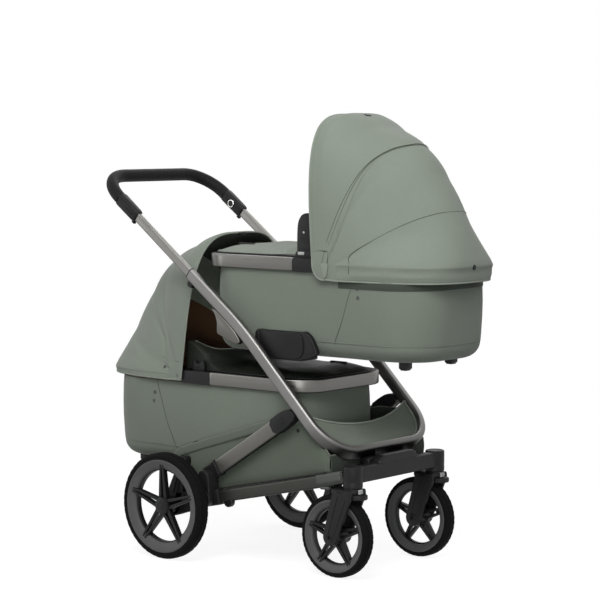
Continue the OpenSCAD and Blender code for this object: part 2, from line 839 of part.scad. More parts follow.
// Hood: arches in planes through the hinge axis, as far as the share of the opening angle
function arch_power(f) = round_power + (square_power - round_power) * pow(max(0, 1 - f / square_share), 2)
    + (front_power - round_power) * max(0, f - seam_share) / (1 - seam_share);

// Point of an arch: f from 0 to 1 turns about the hinge, below 0 runs down the hem, above 1 out to the
// visor's edge; t from 0 to 1 goes over the arch from one side to the other. A hood is its opening angle,
// its visor's length and the height of its hem below the hinge
function hood_point(f, t, grow, hood) = let (
        g = max(0, min(1, f)),
        n = arch_power(g),
        reach = lookup(g, hood_reach) + grow,
        start = asin(pow(wall_r / reach, n / 2)),
        a = start + t * (180 - 2 * start),
        rho = reach * pow(sin(a), 2 / n),
        y = (hood_half + grow) * sign(cos(a)) * pow(abs(cos(a)), 2 / n),
        turn = g * hood[0],
        out = max(0, f - 1) * hood[1],
        down = max(0, -f) * hood[2]
    )
    [rho * cos(turn) - out * sin(turn), y, rho * sin(turn) + out * cos(turn) - down];

// Cloth shell through a list of arches, from one offset outwards to another
module hood_shell(hood, stations, inner, outer) {
    rows = len(stations);
    cols = hood_steps + 1;
    skins = [for (grow = [outer, inner], f = stations, j = [0 : hood_steps])
        hood_point(f, j / hood_steps, grow, hood)];
    half = rows * cols;
    grid = [for (i = [0 : rows - 2], j = [0 : hood_steps - 1])
        [i * cols + j, i * cols + j + 1, (i + 1) * cols + j + 1, (i + 1) * cols + j]];
    ends = [for (j = [0 : hood_steps - 1]) each [
        [j + 1, j, half + j, half + j + 1],
        [for (v = [j, j + 1, half + j + 1, half + j]) v + (rows - 1) * cols]]];
    sides = [for (i = [0 : rows - 2]) each [
        [i * cols, (i + 1) * cols, half + (i + 1) * cols, half + i * cols],
        [for (v = [(i + 1) * cols, i * cols, half + i * cols, half + (i + 1) * cols]) v + hood_steps]]];
    faces = concat(grid, [for (q = grid) [for (v = [q[3], q[2], q[1], q[0]]) v + half]], ends, sides);
    translate([hood_x, 0, hood_z]) polyhedron(
        points = skins,
        faces = [for (q = faces) each [[q[0], q[1], q[2]], [q[0], q[2], q[3]]]]
    );
}

module hood_rear(hood) {
    color(sage) hood_shell(hood, rear_shares, -hood_cloth, 0);
}

module hood_front(hood) {
    color(sage) hood_shell(hood, front_shares, nest, front_grow);
}

// Plates at the foot of the front part, bored for the hood's pins: round, cut along the visor's edge and hem
module hood_ears(hood) {
    ear_r = wall_r - gap;
    color(black) translate([hood_x, 0, hood_z]) for (s = [-1, 1])
        beside(s, hood_half + nest, hood_half + front_grow) difference() {
            intersection() {
                union() {
                    circle(r = ear_r);
                    if (hood[1] > ear_r / 2) rotate(hood[0]) square([ear_r, hood[1]]);
                }
                rotate(hood[0]) translate([-2 * ear_r, -2 * ear_r])
                    square([4 * ear_r, 2 * ear_r + hood[1]]);
                translate([-2 * ear_r, -hood[2]]) square(4 * ear_r);
            }
            circle(d = ear_hole_d + 2 * pin_gap);
        }
}

main_tube(-1);  // main_tube_right
main_tube(1);  // main_tube_left
front_loop();
front_flap();
crossbar();
crossbar_cover();
leg(-1);  // leg_right
leg(1);  // leg_left
leg_hinge(-1);  // leg_hinge_right
leg_hinge(1);  // leg_hinge_left
rail(-1);  // rail_right
rail(1);  // rail_left
carrier(-1);  // carrier_right
carrier(1);  // carrier_left
rear_axle();
brake_pedal();
basket();
adapter(-1, cot_shift, upper_rim_z, upper_boss, frame_half - tube_wide / 2 - gap / 2, 1);  // upper_adapter_right
adapter(1, cot_shift, upper_rim_z, upper_boss, frame_half - tube_wide / 2 - gap / 2, 1);  // upper_adapter_left
adapter(-1, -cot_shift, lower_rim_z, lower_boss, frame_half - leg_wide / 2 - gap / 2, -1);  // lower_adapter_right
adapter(1, -cot_shift, lower_rim_z, lower_boss, frame_half - leg_wide / 2 - gap / 2, -1);  // lower_adapter_left
handle_tube(-1);  // handle_tube_right
handle_tube(1);  // handle_tube_left
handle_sleeve(-1);  // handle_sleeve_right
handle_sleeve(1);  // handle_sleeve_left
handle_grip();
handle_button(-1);  // handle_button_right
handle_button(1);  // handle_button_left
rear_hub(-1) tyre(rear_r, rear_tyre_w);  // rear_tyre_right
rear_hub(-1) ring(rear_r, rear_tyre_w);  // rear_ring_right
rear_hub(-1) spider(rear_r, rear_hub_half);  // rear_spider_right
rear_hub(1) tyre(rear_r, rear_tyre_w);  // rear_tyre_left
rear_hub(1) ring(rear_r, rear_tyre_w);  // rear_ring_left
rear_hub(1) spider(rear_r, rear_hub_half);  // rear_spider_left
fork(-1);  // fork_right
fork_button(-1);  // fork_button_right
front_hub(-1) tyre(front_r, front_tyre_w);  // front_tyre_right
front_hub(-1) ring(front_r, front_tyre_w);  // front_ring_right
front_hub(-1) spider(front_r, front_hub_half);  // front_spider_right
fork(1);  // fork_left
fork_button(1);  // fork_button_left
front_hub(1) tyre(front_r, front_tyre_w);  // front_tyre_left
front_hub(1) ring(front_r, front_tyre_w);  // front_ring_left
front_hub(1) spider(front_r, front_hub_half);  // front_spider_left
upper_place() tub();  // upper_tub
upper_place() rim();  // upper_rim
upper_place() hinges(upper_paddle_h);  // upper_hinges
upper_place() apron(upper_apron_end, upper_lip, 0);  // upper_apron
upper_place() mattress();  // upper_mattress
upper_place() hood_rear(upper_hood);  // upper_hood_rear
upper_place() hood_front(upper_hood);  // upper_hood_front
upper_place() hood_ears(upper_hood);  // upper_hood_ears
lower_place() tub();  // lower_tub
lower_place() rim();  // lower_rim
lower_place() hinges(lower_paddle_h);  // lower_hinges
lower_place() apron(lower_apron_end, lower_lip, lower_side_lip);  // lower_apron
lower_place() mattress();  // lower_mattress
lower_place() hood_rear(lower_hood);  // lower_hood_rear
lower_place() hood_front(lower_hood);  // lower_hood_front
lower_place() hood_ears(lower_hood);  // lower_hood_ears
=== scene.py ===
import math

import bpy
import numpy as np
from mathutils import Matrix, Vector, noise


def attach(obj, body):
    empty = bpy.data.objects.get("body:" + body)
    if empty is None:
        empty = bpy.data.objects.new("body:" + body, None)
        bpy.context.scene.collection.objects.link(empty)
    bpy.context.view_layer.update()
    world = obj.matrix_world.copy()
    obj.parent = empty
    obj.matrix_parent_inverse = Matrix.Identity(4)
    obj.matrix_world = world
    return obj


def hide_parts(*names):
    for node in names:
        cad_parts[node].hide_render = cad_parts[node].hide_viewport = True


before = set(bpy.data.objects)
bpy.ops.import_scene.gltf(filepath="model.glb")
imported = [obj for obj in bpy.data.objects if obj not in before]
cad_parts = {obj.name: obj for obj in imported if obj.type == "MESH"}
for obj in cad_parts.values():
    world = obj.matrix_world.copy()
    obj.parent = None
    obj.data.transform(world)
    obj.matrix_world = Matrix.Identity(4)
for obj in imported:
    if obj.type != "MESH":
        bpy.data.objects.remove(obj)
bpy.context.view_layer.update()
scene = bpy.context.scene
scene.view_settings.view_transform = "Standard"

# Lengths are millimetres in the part's frame, and meshes are made in metres.
MM = 0.001

# Camera, backdrop and lights, in metres

PHOTO_PX, FOCAL_PX, SENSOR_MM = 600, 2110.1, 36
CAMERA_TURN, CAMERA_RISE, CAMERA_FAR = math.radians(39.795), math.radians(4.674), 5.762
CAMERA_AIM, CAMERA_CLIP = Vector((0.0161, 0, 0.6996)), 50
FLOOR_HALF, FLOOR_Z, FLOOR_GLOW, FLOOR_FADE = 40.0, -0.0005, 0.88, (0.9, 1.8)
WHITE, FLOOR_GREY = (1, 1, 1, 1), (0.3, 0.3, 0.3, 1)
FLOOR_BOUNCE = [(0.0, (0.20,) * 3), (1.0, (0.24,) * 3)]
SKY = [(0.0, (0.03,) * 3), (0.5, (0.36,) * 3), (1.0, (0.8,) * 3)]
SKY_POWER = 0.345
# Name, place, aim, size and power
LIGHTS = (
    ("key", (1.3, -2.4, 3.4), (0, 0, 0.8), (2.2, 2.0), 83),
    ("fill", (3.0, -0.8, 2.9), (0.2, 0, 0.9), (2.0, 1.6), 15),
    ("front", (2.5, -3.2, 0.6), (-0.1, 0, 0.7), (1.3, 0.9), 26),
    ("side", (-2.9, -2.2, 1.2), (-0.1, 0, 0.7), (0.5, 1.8), 12),
    ("back", (-1.6, 2.4, 2.9), (0, 0, 0.8), (2.4, 1.6), 24))


def make_camera():
    level = math.cos(CAMERA_RISE)
    back = Vector((math.sin(CAMERA_TURN) * level, -math.cos(CAMERA_TURN) * level, math.sin(CAMERA_RISE)))
    data = bpy.data.cameras.new("camera")
    data.sensor_width = SENSOR_MM
    data.lens = FOCAL_PX / PHOTO_PX * SENSOR_MM
    data.clip_end = CAMERA_CLIP
    camera = bpy.data.objects.new("camera", data)
    camera.location = CAMERA_AIM + CAMERA_FAR * back
    camera.rotation_euler = back.to_track_quat("Z", "Y").to_euler()
    scene.collection.objects.link(camera)
    scene.camera = camera


def wire(tree, made, inputs):
    """Gives a node's inputs, by name or number, a socket or a constant."""
    for key, value in inputs.items():
        if isinstance(value, bpy.types.NodeSocket):
            tree.links.new(value, made.inputs[key])
        else:
            made.inputs[key].default_value = value


def node(tree, kind, inputs=(), **settings):
    """Outputs of a new shader node."""
    made = tree.nodes.new("ShaderNode" + kind)
    for key, value in settings.items():
        setattr(made, key, value)
    wire(tree, made, dict(inputs))
    return made.outputs


def maths(tree, operation, *values):
    """Result of a maths node."""
    return node(tree, "Math", enumerate(values), operation=operation)[0]


def ramp(tree, factor, stops):
    """Colour that changes with a factor, through stops of place and colour."""
    made = tree.nodes.new("ShaderNodeValToRGB")
    elements = made.color_ramp.elements
    while len(elements) < len(stops):
        elements.new(0.5)
    for element, (place, colour) in zip(elements, stops):
        element.position = place
        element.color = (*colour, 1)
    tree.links.new(factor, made.inputs[0])
    return made.outputs[0]


def seen_ray(tree):
    """1 for rays that show the background: camera, mirror and see-through rays."""
    ray = node(tree, "LightPath")
    shown = maths(tree, "MAXIMUM", ray["Is Camera Ray"], ray["Is Glossy Ray"])
    return maths(tree, "MAXIMUM", shown, ray["Is Transmission Ray"])


def make_world():
    """White where it is seen, and a grey sky, darker below, for the light on the part."""
    world = bpy.data.worlds.new("studio")
    scene.world = world
    world.use_nodes = True
    tree = world.node_tree
    tree.nodes.clear()
    height = node(tree, "SeparateXYZ", {0: node(tree, "TexCoord")["Generated"]})["Z"]
    sky = ramp(tree, maths(tree, "MULTIPLY_ADD", height, 0.5, 0.5), SKY)
    light = node(tree, "Background", {"Color": sky, "Strength": SKY_POWER})[0]
    white = node(tree, "Background", {"Color": WHITE, "Strength": 1.0})[0]
    mix = node(tree, "MixShader", {0: seen_ray(tree), 1: light, 2: white})[0]
    node(tree, "OutputWorld", {"Surface": mix})


def make_floor():
    """White floor that takes the part's soft shadow and throws back little light."""
    mesh = bpy.data.meshes.new("floor")
    corners = ((-1, -1), (1, -1), (1, 1), (-1, 1))
    mesh.from_pydata([(FLOOR_HALF * x, FLOOR_HALF * y, FLOOR_Z) for x, y in corners], [], [(0, 1, 2, 3)])
    floor = bpy.data.objects.new("floor", mesh)
    scene.collection.objects.link(floor)
    material = bpy.data.materials.new("floor_white")
    material.use_nodes = True
    tree = material.node_tree
    tree.nodes.clear()
    glow = node(tree, "Emission", {"Color": WHITE, "Strength": FLOOR_GLOW})[0]
    lit = node(tree, "BsdfDiffuse", {"Color": FLOOR_GREY})[0]
    near = node(tree, "AddShader", {0: glow, 1: lit})[0]
    # Away from the part the floor fades to the background's white
    far = node(tree, "Emission", {"Color": WHITE, "Strength": 1.0})[0]
    away = node(tree, "VectorMath", {0: node(tree, "TexCoord")["Object"]}, operation="LENGTH")["Value"]
    start, end = FLOOR_FADE
    share = node(tree, "MapRange", {"Value": away, "From Min": start, "From Max": end})[0]
    seen = node(tree, "MixShader", {0: share, 1: near, 2: far})[0]
    bounce = ramp(tree, node(tree, "TexNoise", {"Scale": 3.0})["Fac"], FLOOR_BOUNCE)
    plain = node(tree, "BsdfDiffuse", {"Color": bounce})[0]
    mix = node(tree, "MixShader", {0: seen_ray(tree), 1: plain, 2: seen})[0]
    node(tree, "OutputMaterial", {"Surface": mix})
    mesh.materials.append(material)


def area_light(name, place, aim, size, power):
    data = bpy.data.lights.new(name, "AREA")
    data.shape = "RECTANGLE"
    data.size, data.size_y = size
    data.energy = power
    lamp = bpy.data.objects.new(name, data)
    lamp.location = place
    lamp.rotation_euler = (Vector(place) - Vector(aim)).to_track_quat("Z", "Y").to_euler()
    scene.collection.objects.link(lamp)


make_camera()
make_world()
make_floor()
for _light in LIGHTS:
    area_light(*_light)

# Materials


def linear(rgb):
    """Linear colour of 8-bit sRGB values."""
    return tuple(((c / 255 + 0.055) / 1.055) ** 2.4 if c > 10 else c / 255 / 12.92 for c in rgb)


def new_material(name, rgb, rough, metallic=0.0):
    material = bpy.data.materials.new(name)
    material.use_nodes = True
    shader = material.node_tree.nodes["Principled BSDF"]
    colour = (*linear(rgb), 1)
    shader.inputs["Base Color"].default_value = colour
    shader.inputs["Roughness"].default_value = rough
    shader.inputs["Metallic"].default_value = metallic
    material.diffuse_color = colour
    return material, material.node_tree, shader


def shades(tree, factor, rgb, stops):
    """One colour made darker and lighter, through stops of place and share."""
    colour = np.array(linear(rgb))
    return ramp(tree, factor, [(place, np.minimum(1, colour * share)) for place, share in stops])


def uneven_gloss(tree, factor, rough, smoother, rougher):
    return ramp(tree, factor, [(0.3, (rough - smoother,) * 3), (0.7, (rough + rougher,) * 3)])


def bump(tree, height, strength, distance, below=None):
    inputs = {"Height": height, "Strength": strength, "Distance": distance}
    if below is not None:
        inputs["Normal"] = below
    return node(tree, "Bump", inputs)[0]


def speckle(tree, scale, detail, streak=None):
    """Noise in the object's own space, drawn out by a streak."""
    space = node(tree, "TexCoord")["Object"]
    if streak:
        space = node(tree, "Mapping", {"Vector": space, "Scale": streak})[0]
    return node(tree, "TexNoise", {"Vector": space, "Scale": scale, "Detail": detail})["Fac"]


def by_height(tree, vector, *ends):
    """Number that follows a vector's Z: the two ends of Z, then the numbers at both."""
    height = node(tree, "SeparateXYZ", {0: vector})["Z"]
    names = ("From Min", "From Max", "To Min", "To Max")
    return node(tree, "MapRange", {"Value": height, **dict(zip(names, ends))})[0]


def fabric(name, rgb, thread=1.1, rough=0.82, sheen=0.25, spread=0.10, soft=0.5, gloss=0.25):
    """Woven cloth: crossed threads along the surface's own metres, melange colour and soft unevenness."""
    material, tree, shader = new_material(name, rgb, rough)
    cloth = node(tree, "SeparateXYZ", {0: node(tree, "UVMap")[0]})
    waves = []
    for axis, shift in (("X", 0.0), ("Y", 1.57)):
        phase = maths(tree, "MULTIPLY_ADD", cloth[axis], 2 * math.pi / (thread * MM), shift)
        waves.append(maths(tree, "SINE", phase))
    fine, wide = speckle(tree, 420.0, 2.0), speckle(tree, 5.0, 3.0)
    blend = maths(tree, "MULTIPLY_ADD", fine, 0.55, maths(tree, "MULTIPLY", wide, 0.45))
    colour = shades(tree, blend, rgb, [(0.25, 1 - spread), (0.5, 1), (0.75, 1 + spread)])
    slack = bump(tree, wide, soft, 0.004)
    weave = bump(tree, maths(tree, "MULTIPLY", *waves), 0.25, 0.0003, slack)
    wire(tree, shader, {"Base Color": colour, "Normal": weave})
    wire(tree, shader, {"Sheen Weight": sheen, "Sheen Roughness": 0.5, "Specular IOR Level": gloss})
    return material


def metal(name, rgb, rough=0.34, streak=(1, 1, 1), low=None):
    """Brushed anodised aluminium with fine lines along the tube, and painted light and shade: darker where
    it faces the ground, lighter where it faces up, in place of the dark ground and bright sky that it would
    reflect.

    low paints shade that darkens it towards the ground too: two heights in metres and the share of light at
    the first."""
    material, tree, shader = new_material(name, rgb, rough, 1.0)
    lines = speckle(tree, 60.0, 4.0, streak)
    colour = shades(tree, lines, rgb, [(0.3, 0.94), (0.7, 1.06)])
    surface = node(tree, "NewGeometry")
    # Painted light and shade: the colour darkens where the surface faces down and lightens where it faces up
    light = by_height(tree, surface["Normal"], -0.85, 0.55, 0.22, 1.12)
    # Painted shade that darkens the colour towards the ground
    if low:
        light = maths(tree, "MULTIPLY", light, by_height(tree, surface["Position"], *low, 1.0))
    wire(tree, shader, {
        "Base Color": node(tree, "VectorMath", {0: colour, "Scale": light}, operation="SCALE")[0],
        "Roughness": uneven_gloss(tree, lines, rough, 0.05, 0.07),
        "Normal": bump(tree, lines, 0.05, 0.0002)})
    return material


def plastic(name, rgb, rough=0.5, grain=900.0, depth=0.12, worn=0.10, gloss=0.22):
    """Moulded plastic with a fine spark-eroded grain and slightly worn patches."""
    material, tree, shader = new_material(name, rgb, rough)
    fine, wide = speckle(tree, grain, 2.0), speckle(tree, 14.0, 3.0)
    wire(tree, shader, {
        "Base Color": shades(tree, wide, rgb, [(0.3, 1 - worn), (0.7, 1 + worn)]),
        "Roughness": uneven_gloss(tree, wide, rough, 0.06, 0.06),
        "Normal": bump(tree, fine, depth, 0.0003),
        "Specular IOR Level": gloss})
    return material


def leather(name, rgb, rough=0.5):
    """Soft grained leatherette: small pebbles of two sizes."""
    material, tree, shader = new_material(name, rgb, rough)
    space = node(tree, "TexCoord")["Object"]
    cells = node(tree, "TexVoronoi", {"Vector": space, "Scale": 520.0}, feature="SMOOTH_F1")["Distance"]
    wide = speckle(tree, 90.0, 4.0)
    wire(tree, shader, {
        "Base Color": shades(tree, wide, rgb, [(0.3, 0.85), (0.7, 1.2)]),
        "Normal": bump(tree, cells, 0.35, 0.0004, bump(tree, wide, 0.12, 0.0008)),
        "Specular IOR Level": 0.16})
    return material


TUBE_STREAK = (0.3, 1, 0.3)
SAGE = fabric("sage_weave", (140, 149, 137))
TUB = fabric("tub_weave", (127, 136, 124))
# Dark thread of the stitches, and painted shade: the dark lines of seams and the zip, and the basket's front
# panel
THREAD_AND_SHADE = fabric("sage_thread_and_painted_shade", (74, 82, 72), spread=0.15)
PIPING = fabric("sage_piping", (150, 158, 146), thread=0.9)
LINING = fabric("dark_lining", (56, 63, 55), sheen=0.1)
BASKET = fabric("basket_weave", (98, 107, 94), thread=1.4)
ROLL = fabric("basket_roll", (104, 112, 100), thread=1.2)
# Front flap cloth made darker as painted shade of the upper cot above it
FLAP = fabric("flap_weave_painted_shade", (114, 123, 110))
LINING_LOW = fabric("green_lining", (150, 160, 144), sheen=0.1)
# Closing strip under the upper hood's hem, made dark partly as painted shade of the hem
STRIP = fabric("closing_strip_and_hem_shade", (70, 77, 68), sheen=0.1)
BROWN = fabric("brown_lining", (104, 76, 54), sheen=0.1)
KNIT = fabric("mattress_knit", (216, 216, 210), thread=2.2, rough=0.9)
BAND = fabric("black_webbing", (36, 38, 36), thread=1.6, rough=0.7, sheen=0.1)
APRON_LOW = fabric("apron_coated", (42, 46, 40), rough=0.4, sheen=0.0, soft=0.9, gloss=0.14)
BRONZE_RGB, BRONZE_ROUGH = (136, 135, 133), 0.42
BRONZE = metal("bronze_tube", BRONZE_RGB, BRONZE_ROUGH, TUBE_STREAK)
SILVER = metal("silver_tube", (132, 131, 128), 0.34, TUBE_STREAK)
LEG = metal("leg_tube", (114, 113, 109), 0.38, TUBE_STREAK)
BEAM = metal("beam_tube", (74, 74, 71), 0.44, TUBE_STREAK)
RIM = metal("rim_rail", (121, 120, 117), 0.32, (0.15, 0.15, 3))
CHROME = metal("bright_ring", (205, 205, 203), 0.14)
BLACK = plastic("black_moulding", (25, 25, 26), 0.5)
SATIN = plastic("black_satin", (21, 21, 22), 0.44, grain=1400.0, depth=0.06)
DARK = plastic("wheel_black", (22, 22, 23), 0.46)
GREY = plastic("wheel_ring", (92, 92, 93), 0.5)
PALE = plastic("pale_button", (188, 190, 188), 0.4)
CLIP = plastic("clip_grey", (88, 91, 88), 0.5)
RUBBER = plastic("tyre_rubber", (18, 18, 19), 0.85, grain=500.0, depth=0.3, worn=0.18, gloss=0.1)
GRIP = leather("grip_leather", (22, 22, 23), 0.62)

# Outlines and frames

ACROSS, UPWARD = np.array([0, 1, 0]), np.array([0, 0, 1])


def unit(v):
    v = np.asarray(v, float)
    return v / np.maximum(np.linalg.norm(v, axis=-1, keepdims=True), 1e-12)


def ease(q):
    """Soft start and end between 0 and 1."""
    return q * q * (3 - 2 * q)


def span(side, near, far):
    """Two distances out to one side, the lower number first."""
    return sorted((side * near, side * far))


def rounded(w, h, r, n=4):
    """Outline of a rectangle w by h with rounded corners, counter-clockwise."""
    r = min(r, w / 2 - 1e-4, h / 2 - 1e-4)
    corners = ((1, 1, 0), (-1, 1, 90), (-1, -1, 180), (1, -1, 270))
    arcs = [arc(x * (w / 2 - r), y * (h / 2 - r), r, a, a + 90, n + 1) for x, y, a in corners]
    return np.concatenate(arcs)


def circle(r, n=32):
    a = np.linspace(0, 2 * math.pi, n, endpoint=False)
    return np.stack([r * np.cos(a), r * np.sin(a)], 1)


def arc(cx, cy, r, a0, a1, n):
    a = np.radians(np.linspace(a0, a1, n))
    return np.stack([cx + r * np.cos(a), cy + r * np.sin(a)], 1)


def capsule(p, q, rp, rq, n=14):
    """Outline round two circles and the lines that touch both."""
    x, y = np.subtract(q, p)
    way = math.degrees(math.atan2(y, x))
    lean = math.degrees(math.acos(max(-1, min(1, (rp - rq) / math.hypot(x, y)))))
    first = arc(*p, rp, way + lean, way + 360 - lean, n)
    return np.concatenate([first, arc(*q, rq, way - lean, way + lean, n)])


def inset(outline, d):
    """Outline moved inwards by d along its own corners."""
    before = unit(outline - np.roll(outline, 1, 0))
    after = unit(np.roll(outline, -1, 0) - outline)
    a, b = (np.stack([-v[:, 1], v[:, 0]], 1) for v in (before, after))
    n = unit(a + b)
    cosine = np.maximum(0.5, np.sum(n * b, 1))
    return outline + n * (d / cosine)[:, None]


def turning(outline):
    """Twice an outline's area, negative where it runs clockwise."""
    x, y = outline[:, 0], outline[:, 1]
    return np.sum(x * np.roll(y, -1) - np.roll(x, -1) * y)


def smooth_outline(pts, rounds=2):
    """Corner-cutting on a closed outline."""
    p = np.array([tuple(q) for q in pts], float)
    for _ in range(rounds):
        n = np.roll(p, -1, 0)
        p = np.stack([0.78 * p + 0.22 * n, 0.22 * p + 0.78 * n], 1).reshape(-1, 2)
    return p


def at_height(outline, z):
    """Plan points at one height."""
    return np.c_[outline, np.full(len(outline), z)]


def turned(at, axis, degrees=90):
    """Frame at a point, turned about one axis."""
    return Matrix.Translation(at) @ Matrix.Rotation(math.radians(degrees), 4, axis)


def side_frame(y=0, x=0, z=0):
    """Frame of the side view: its X and Y run along the part's x and z, and its Z runs along -y."""
    return turned((x, y, z), "X")


# Mesh building

PLATE_STEPS, END_TURNS = 4, (80, 50, 25)


class Build:
    """Collects solids of one piece, in millimetres, and makes one mesh object of them."""

    def __init__(self, place=None):
        self.verts, self.faces, self.looks, self.maps, self.count = [], [], [], [], 0
        self.place = place

    def add(self, verts, faces, mat=0, maps=None, place=None):
        """Takes in a solid; mat counts in the list of materials that the piece gets."""
        verts = np.asarray(verts, float)
        if self.place is not None:
            place = self.place if place is None else self.place @ place
        if place is not None:
            verts = verts @ np.array(place.to_3x3()).T + np.array(place.translation)
        self.verts.append(verts)
        self.faces += [[i + self.count for i in face] for face in faces]
        self.looks += [mat] * len(faces)
        self.maps += maps or [None] * len(faces)
        self.count += len(verts)

    def loft(self, rings, caps=(True, True), closed=True, loop=False, mat=0, place=None, flip=False):
        """Skins rings of equal counts. closed joins each ring's ends, loop joins last ring to first."""
        rings = np.asarray(rings, float)
        rows, cols = rings.shape[:2]
        steps = np.linalg.norm(np.diff(rings, axis=0), axis=2).mean(1)
        along = np.concatenate([[0], np.cumsum(steps)]) * MM
        steps = np.linalg.norm(np.roll(rings, -1, 1) - rings, axis=2)
        around = np.concatenate([np.zeros((rows, 1)), np.cumsum(steps, 1)], 1).mean(0) * MM
        faces, maps = [], []
        for i in range(rows if loop else rows - 1):
            j = (i + 1) % rows
            low, high = along[i], along[min(i + 1, rows - 1)]
            for a in range(cols if closed else cols - 1):
                b = (a + 1) % cols
                face = [i * cols + a, i * cols + b, j * cols + b, j * cols + a]
                flat = [(around[a], low), (around[a + 1], low), (around[a + 1], high), (around[a], high)]
                faces.append(face[::-1] if flip else face)
                maps.append(flat[::-1] if flip else flat)
        if closed and not loop:
            for shut, row in zip(caps, (0, rows - 1)):
                if shut:
                    face = [row * cols + a for a in range(cols)]
                    faces.append(face[::-1] if (row == 0) != flip else face)
                    maps.append(None)
        self.add(rings.reshape(-1, 3), faces, mat, maps, place)

    def plate(self, outline, z0, z1, r, mat=0, place=None):
        """Flat plate between two heights with rounded edges."""
        outline = np.asarray(outline, float)
        if turning(outline) < 0:
            outline = outline[::-1]
        curve = np.radians(np.linspace(0, 90, PLATE_STEPS))
        edge = [(r * (1 - math.sin(a)), r * (1 - math.cos(a))) for a in curve]
        rings = [at_height(inset(outline, d), z0 + z) for d, z in edge]
        rings += [at_height(inset(outline, d), z1 - z) for d, z in reversed(edge)]
        self.loft(rings, mat=mat, place=place)

    def sweep(self, pts, outline, first, second, caps=(True, True), mat=0, loop=False, round_ends=0.0):
        """Outline carried along points, its two numbers along the first and second directions."""
        pts = np.asarray(pts, float)
        first, second = (np.broadcast_to(np.asarray(v, float), pts.shape) for v in (first, second))
        outline = np.asarray(outline, float)

        def ring(k, share=1.0, out=0.0):
            q = outline * share
            return pts[k] + out + q[:, :1] * first[k] + q[:, 1:] * second[k]

        rings = [ring(k) for k in range(len(pts))]
        if round_ends:
            size = np.abs(outline).max(0)
            for end, inner in ((0, 1), (-1, -2)):
                out = unit(pts[end] - pts[inner])
                tips = []
                for a in np.radians(END_TURNS):
                    share = (size - round_ends * (1 - math.cos(a))) / size
                    tips.append(ring(end, share, out * (round_ends * math.sin(a))))
                rings = tips + rings if end == 0 else rings + tips[::-1]
        # The skin faces outwards whichever way the outline runs
        flip = np.dot(np.cross(first[0], second[0]), pts[1] - pts[0]) * turning(outline) < 0
        self.loft(rings, caps, True, loop, mat, flip=flip)

    def tube(self, pts, r, n=10, mat=0, loop=False):
        """Round tube along any points."""
        pts = np.asarray(pts, float)
        ahead = unit(np.roll(pts, -1, 0) - np.roll(pts, 1, 0) if loop else np.gradient(pts, axis=0))
        start = UPWARD if abs(ahead[0][2]) < 0.9 else np.array([1.0, 0, 0])
        side = unit(np.cross(start, ahead[0]))
        sides = []
        for t in ahead:
            side = unit(side - np.dot(side, t) * t)
            sides.append(side)
        self.sweep(pts, circle(r, n), sides, np.cross(ahead, sides), mat=mat, loop=loop)

    def lathe(self, profile, n=64, mat=0, place=None, wave=None, closed=False):
        """Turns (radius, height) points about Z. wave changes a radius by (row, column)."""
        ring = circle(1.0, n)
        rings = []
        for row, (r, z) in enumerate(profile):
            waved = np.array([r + (wave(row, col) if wave else 0) for col in range(n)])
            rings.append(at_height(ring * waved[:, None], z))
        caps = profile[0][0] > 1e-6, profile[-1][0] > 1e-6
        self.loft(rings, caps, loop=closed, mat=mat, place=place)

    def box(self, low, high, r, mat=0, place=None):
        """Box with rounded edges between two corners."""
        low, high = np.array(low, float), np.array(high, float)
        w, h, deep = high - low
        outline = rounded(w, h, r, 3) + ((low + high) / 2)[:2]
        self.plate(outline, low[2], high[2], min(r, deep / 2 - 0.01), mat, place)

    def make(self, name, body, mats, slot, smooth=38, nodes=()):
        """Mesh object of all that was taken in, on its body."""
        verts = np.concatenate(self.verts) * MM
        mesh = bpy.data.meshes.new(name)
        mesh.from_pydata([tuple(v) for v in verts], [], self.faces)
        for m in mats:
            mesh.materials.append(m)
        mesh.polygons.foreach_set("material_index", np.array(self.looks, np.int32))
        mesh.polygons.foreach_set("use_smooth", np.ones(len(self.faces), bool))
        flat = []
        for face, uv in zip(self.faces, self.maps):
            if uv is None:
                # A cap is mapped along the two axes that it lies nearest to
                q = verts[face]
                facing = np.abs(np.cross(q[1] - q[0], q[2] - q[0]))
                uv = np.delete(q, np.argmax(facing), 1)
            flat.extend(uv)
        layer = mesh.uv_layers.new(name="UVMap")
        layer.data.foreach_set("uv", np.array(flat, float).ravel())
        mesh.validate()
        mesh.update()
        mesh.set_sharp_from_angle(angle=math.radians(smooth))
        obj = bpy.data.objects.new(name, mesh)
        scene.collection.objects.link(obj)
        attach(obj, body)
        if nodes:
            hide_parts(*nodes)
        return obj

    def skin(self, node_name, body, mats, slot, smooth=38):
        """Piece that stands for one node and is named after it."""
        self.make(node_name + "_skin", body, mats, slot, smooth, [node_name])


def bolt(b, place, r, h, mat=0):
    """Round screw head with a hexagon recess."""
    b.lathe([(r, 0), (r, h * 0.55), (r * 0.86, h), (r * 0.5, h)], 24, mat, place)
    b.lathe([(r * 0.5, h), (r * 0.46, h * 0.4), (0, h * 0.4)], 6, mat, place)


def stud(b, at, facing, r, mat):
    """Press stud whose cap looks along a direction."""
    turn = Vector(facing).to_track_quat("Z", "Y").to_matrix().to_4x4()
    cap = [(1.0, -0.15), (0.97, 0.12), (0.8, 0.24), (0.44, 0.16), (0, 0.14)]
    b.lathe([(r * p, r * q) for p, q in cap], 24, mat, Matrix.Translation(at) @ turn)


# Length, gap, radius and lift of a row's stitches
FLAP_STITCH, BASKET_STITCH, TUB_STITCH = (3.4, 2.2, 0.45, 0.25), (3.6, 2.4, 0.45, 0.2), (3.0, 2.2, 0.4, 0.15)
PAD_STITCH, HEM_STITCH, VISOR_STITCH = (4.0, 2.6, 0.5, 0.2), (3.4, 2.4, 0.4, 0.2), (3.6, 2.4, 0.4, 0.2)


